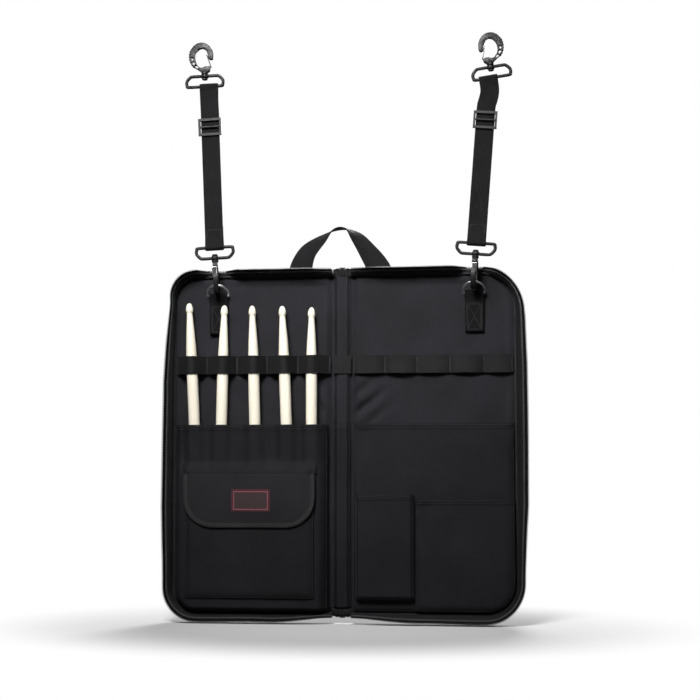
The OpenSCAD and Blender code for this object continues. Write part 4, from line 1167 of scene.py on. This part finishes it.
def onStrap(side, points):
    moved = turned(points + [0, 0, swivelUp], strapLook[side]["lean"])
    return moved + [sideOf[side] * ringX[side], 0, contactZ]


def onTop(side, points):
    s = strapLook[side]
    moved = turned(points * [s["mirror"], 1, 1] + [s["shift"], 0, loopDrop], s["topLean"] - s["lean"])
    return onStrap(side, moved + [0, 0, loopDrop + webSpan])


# The lower clip hangs nearly edge-on with its mouth to the front, turned a few degrees on its swivel.
def lowerTurn(side, points):
    a = math.radians({"left": 9.0, "right": -5.0}[side])
    x, y = -points[..., 1], -points[..., 0]
    return np.stack([x * math.cos(a) - y * math.sin(a), x * math.sin(a) + y * math.cos(a), -points[..., 2]],
            -1)


# Webbing round the lower bar, up the front, over the upper bar and down behind to the slider.
def strapPiece(side):
    s = strapLook[side]
    top = loopDrop + webSpan
    round1 = np.radians(np.linspace(20, -200, 22))
    round2 = np.radians(np.linspace(200, -20, 22))
    line = np.concatenate([
        throughPoints([(0.85, 43), (0.85, 34), (1.1, 27), (2.2, 20)], 5),
        np.stack([3.3 * np.cos(round1), loopDrop + 3.3 * np.sin(round1)], 1),
        throughPoints([(-2.3, 20), (-1.2, 27), (-0.8, 34), (-0.8, 60), (-0.8, 100), (-0.8, 140), (-0.8, 180),
                (-0.8, 214), (-1.2, 223), (-2.3, 230)], 8),
        np.stack([3.3 * np.cos(round2), top + 3.3 * np.sin(round2)], 1),
        throughPoints([(2.3, 230), (1.2, 223), (0.85, 214), (0.85, 190), (0.85, 169)], 6)])
    weight = smooth((line[:, 1] - 196) / 30)
    swing = np.radians(s["topLean"] - s["lean"]) * weight
    drop = line[:, 1] - top
    path = np.stack([drop * np.sin(swing), line[:, 0], top + drop * np.cos(swing)], 1)
    hint = np.stack([np.cos(swing), 0 * swing, -np.sin(swing)], 1)
    across, face = pathFrames(path, hint)
    points, faces, uv = sweep(path, across, face, roundedFlat(25.0, 1.45, 22, 0.42))
    makePiece(side + "Strap", onStrap(side, points), faces, "webbing", side + "_strap", (side + "_strap",),
            uv=uv)
    px, pz = boxLine(-9.5, 9.5, 24.0, 38.0, 60)
    rows = [(onStrap(side, np.stack([px, np.full(60, -1.62), pz], 1)), forward)]
    stitchRows(side + "StrapStitches", rows, side + "_strap", pitch=2.8, length=2.1)


# Oval wire carried round a smooth outline, and a short eye turned about the swivel.
def loopShape():
    outline = np.array([(-22.3, -14.0), (0, -14.0), (22.3, -14.0), (24.5, -12.0), (25.3, -8.6), (24.2, -5.0),
            (20.4, -0.9), (16.5, 0.4),
                        (0, 0.4), (-16.5, 0.4), (-20.4, -0.9), (-24.2, -5.0), (-25.3, -8.6), (-24.5,
                                -12.0)], float)
    line = throughPoints(outline, 6, closed=True)
    path = np.stack([line[:, 0], 0 * line[:, 0], line[:, 1]], 1)
    tangent = unit(np.roll(path, -1, 0) - np.roll(path, 1, 0))
    face = np.broadcast_to(np.array([0.0, 1.0, 0.0]), path.shape)
    across = np.cross(face, tangent)
    points, faces, _ = sweep(path, across, face, circle(2.2, 14), closed=True)
    turn = np.linspace(0, 2 * math.pi, 12, endpoint=False)
    eye = np.stack([3.98 + 1.4 * np.cos(turn), 2.5 * np.sign(np.sin(turn)) * np.abs(np.sin(turn)) ** 0.7], 1)
    angle = np.linspace(0, 2 * math.pi, 28, endpoint=False)
    rings = np.stack([eye[None, :, 0] * np.cos(angle)[:, None], eye[None, :, 0] * np.sin(angle)[:, None],
                      np.broadcast_to(eye[None, :, 1], (28, 12))], -1)
    return joined([(points, faces), (rings.reshape(-1, 3), [gridQuads(28, 12, wrapRows=True,
            wrapCols=True)])])


# Flat hook outline with rounded edges and three oval holes, on a turned collar and post.
def clipShape():
    half, edge = 3.25, 0.8
    back = np.radians(np.arange(-4, 251, 3.0))
    bump = np.where((back > math.radians(150)) & (back < math.radians(228)),
            1.1 * (0.5 + 0.5 * np.cos((back - math.radians(160)) * 360 / 11)), 0)
    outer = np.stack([-4 + (16.5 + bump) * np.cos(back), 28 + (19 + bump) * np.sin(back)], 1)
    foot = np.array([(-6.6, 7.6), (-4.5, 5.0), (4.5, 5.0), (7.6, 7.6), (8.7, 10.2), (8.2, 12.6), (6.4, 13.5),
            (3.4, 13.6)])
    inside = np.radians(np.arange(-62, -360, -4.0))
    inner = np.stack([-3.5 + 9 * np.cos(inside), 25.5 + 13.5 * np.sin(inside)], 1)
    nose = np.radians(np.linspace(180, 350, 12))
    tip = np.stack([8.95 + 3.45 * np.cos(nose), 26 + 3.3 * np.sin(nose)], 1)
    outline = np.concatenate([outer, foot, inner, tip])
    holes = []
    turn = np.linspace(0, 2 * math.pi, 18, endpoint=False)
    for cx, cz, a, b, lean in ((-10.6, 13.6, 3.0, 1.5, -42), (-14.9, 18.6, 2.6, 1.45, -62),
            (-16.5, 24.4, 2.2, 1.3, -84)):
        r = math.radians(lean)
        px, pz = a * np.cos(turn), b * np.sin(turn)
        holes.append(np.stack([cx + px * math.cos(r) - pz * math.sin(r),
                cz + px * math.sin(r) + pz * math.cos(r)], 1))
    curve = bpy.data.curves.new("clipOutline", "CURVE")
    curve.dimensions, curve.fill_mode = "2D", "BOTH"
    curve.extrude, curve.bevel_depth, curve.bevel_resolution, curve.offset = half - edge, edge, 2, -edge
    for line in [outline] + holes:
        spline = curve.splines.new("POLY")
        spline.points.add(len(line) - 1)
        spline.points.foreach_set("co", np.concatenate([line, np.zeros((len(line), 1)),
                np.ones((len(line), 1))], 1).ravel())
        spline.use_cyclic_u = True
    holder = bpy.data.objects.new("clipOutline", curve)
    bpy.context.scene.collection.objects.link(holder)
    bpy.context.view_layer.update()
    flat = bpy.data.meshes.new_from_object(holder.evaluated_get(bpy.context.evaluated_depsgraph_get()))
    shell = bmesh.new()
    shell.from_mesh(flat)
    bmesh.ops.remove_doubles(shell, verts=shell.verts, dist=0.001)
    bmesh.ops.triangulate(shell, faces=shell.faces)
    shell.to_mesh(flat)
    shell.free()
    co = np.zeros(len(flat.vertices) * 3, np.float32)
    flat.vertices.foreach_get("co", co)
    co = co.reshape(-1, 3).astype(float)
    tri = np.zeros(len(flat.polygons) * 3, np.int32)
    flat.polygons.foreach_get("vertices", tri)
    bpy.data.objects.remove(holder)
    bpy.data.curves.remove(curve)
    bpy.data.meshes.remove(flat)
    hook = (np.stack([co[:, 0], co[:, 2], co[:, 1]], 1), [tri.reshape(-1, 3)])
    post = revolve([(0.3, -4.9), (3.2, -4.9), (3.8, -4.4), (3.8, -3.2), (3.4, -2.85), (2.5, -2.8), (2.5, 2.8),
            (4.2, 2.85), (4.6, 3.3),
                    (4.6, 5.2), (4.1, 6.2), (3.0, 6.8), (0.3, 6.8)])
    return joined([hook, post])


def hangers():
    loop, clip = loopShape(), clipShape()
    for side in ("left", "right"):
        strapPiece(side)
        for name, place in (("LowerLoop", lambda p: onStrap(side, p * [1, -1, -1])),
                ("UpperLoop", lambda p: onTop(side, p))):
            body = side + "_" + name[:5].lower() + "_loop"
            makePiece(side + name, place(loop[0]), loop[1], "plastic", body, (body,),
                    sharp=40)
        for name, place in (("LowerClip", lambda p: onStrap(side, lowerTurn(side, p))),
                ("UpperClip", lambda p: onTop(side, p))):
            body = side + "_" + name[:5].lower() + "_clip"
            makePiece(side + name, place(clip[0]), clip[1], "plastic", body, (body,),
                    sharp=40)
    print("straps, loops and clips ready")


hangers()


# Sticks: turned maple with an acorn tip
def stickPieces():
    look = {"length": 391.0, "band": 100.5, "y": 12.5, "butts": (14.95, 11.25, 10.35, 9.55, 6.95)}
    tip = np.array([(0.3, 0.0), (1.5, -0.35), (2.6, -1.3), (3.6, -3.0), (4.4, -5.4), (4.85, -7.8),
            (5.0, -9.6), (4.85, -11.2), (4.35, -12.6),
                    (3.95, -13.5), (3.9, -14.6), (4.1, -18), (5.0, -31), (5.95, -46), (6.75, -62), (7.3,
                            -80), (7.5, -98), (7.5, -150),
                    (7.5, -250), (7.5, -386), (7.35, -389), (6.7, -390.6), (5.6, -391.0), (0.3, -391.0)])
    points, faces = revolve(tip[::-1] * [1, 1] + [0, look["length"]], 32)
    for k, ((place, lean), butt) in enumerate(zip(sticks, look["butts"])):
        stood = turned(points + [0, 0, butt - leaf["top"] - look["band"]], -lean) + [-place, look["y"],
                leaf["z"] + look["band"]]
        name = "stick_%d" % (k + 1)
        makePiece("maple" + str(k + 1), stood, faces, "maple", name, (name,), sharp=40)
    print("sticks ready")


stickPieces()


# CAD nodes whose shape is right
def dressNodes():
    given = {"zip_slider": "zipMetal", "zip_pull": "zipMetal", "zip_end_stop": "zipMetal",
            "back_ring_top": "steel",
             "back_ring_bottom": "steel"}
    for side in ("left", "right"):
        given.update({side + "_ring": "steel", side + "_lower_gate": "steel", side + "_upper_gate": "plastic",
                      side + "_strap_slider": "plastic"})
    for name, finish in given.items():
        mesh = nodes[name].data
        mesh.materials.clear()
        mesh.materials.append(finishes[finish])
    left = sorted(n for n, o in nodes.items() if not o.hide_render and n not in given)
    print("nodes dressed:", len(given), "left plain:", left)


dressNodes()
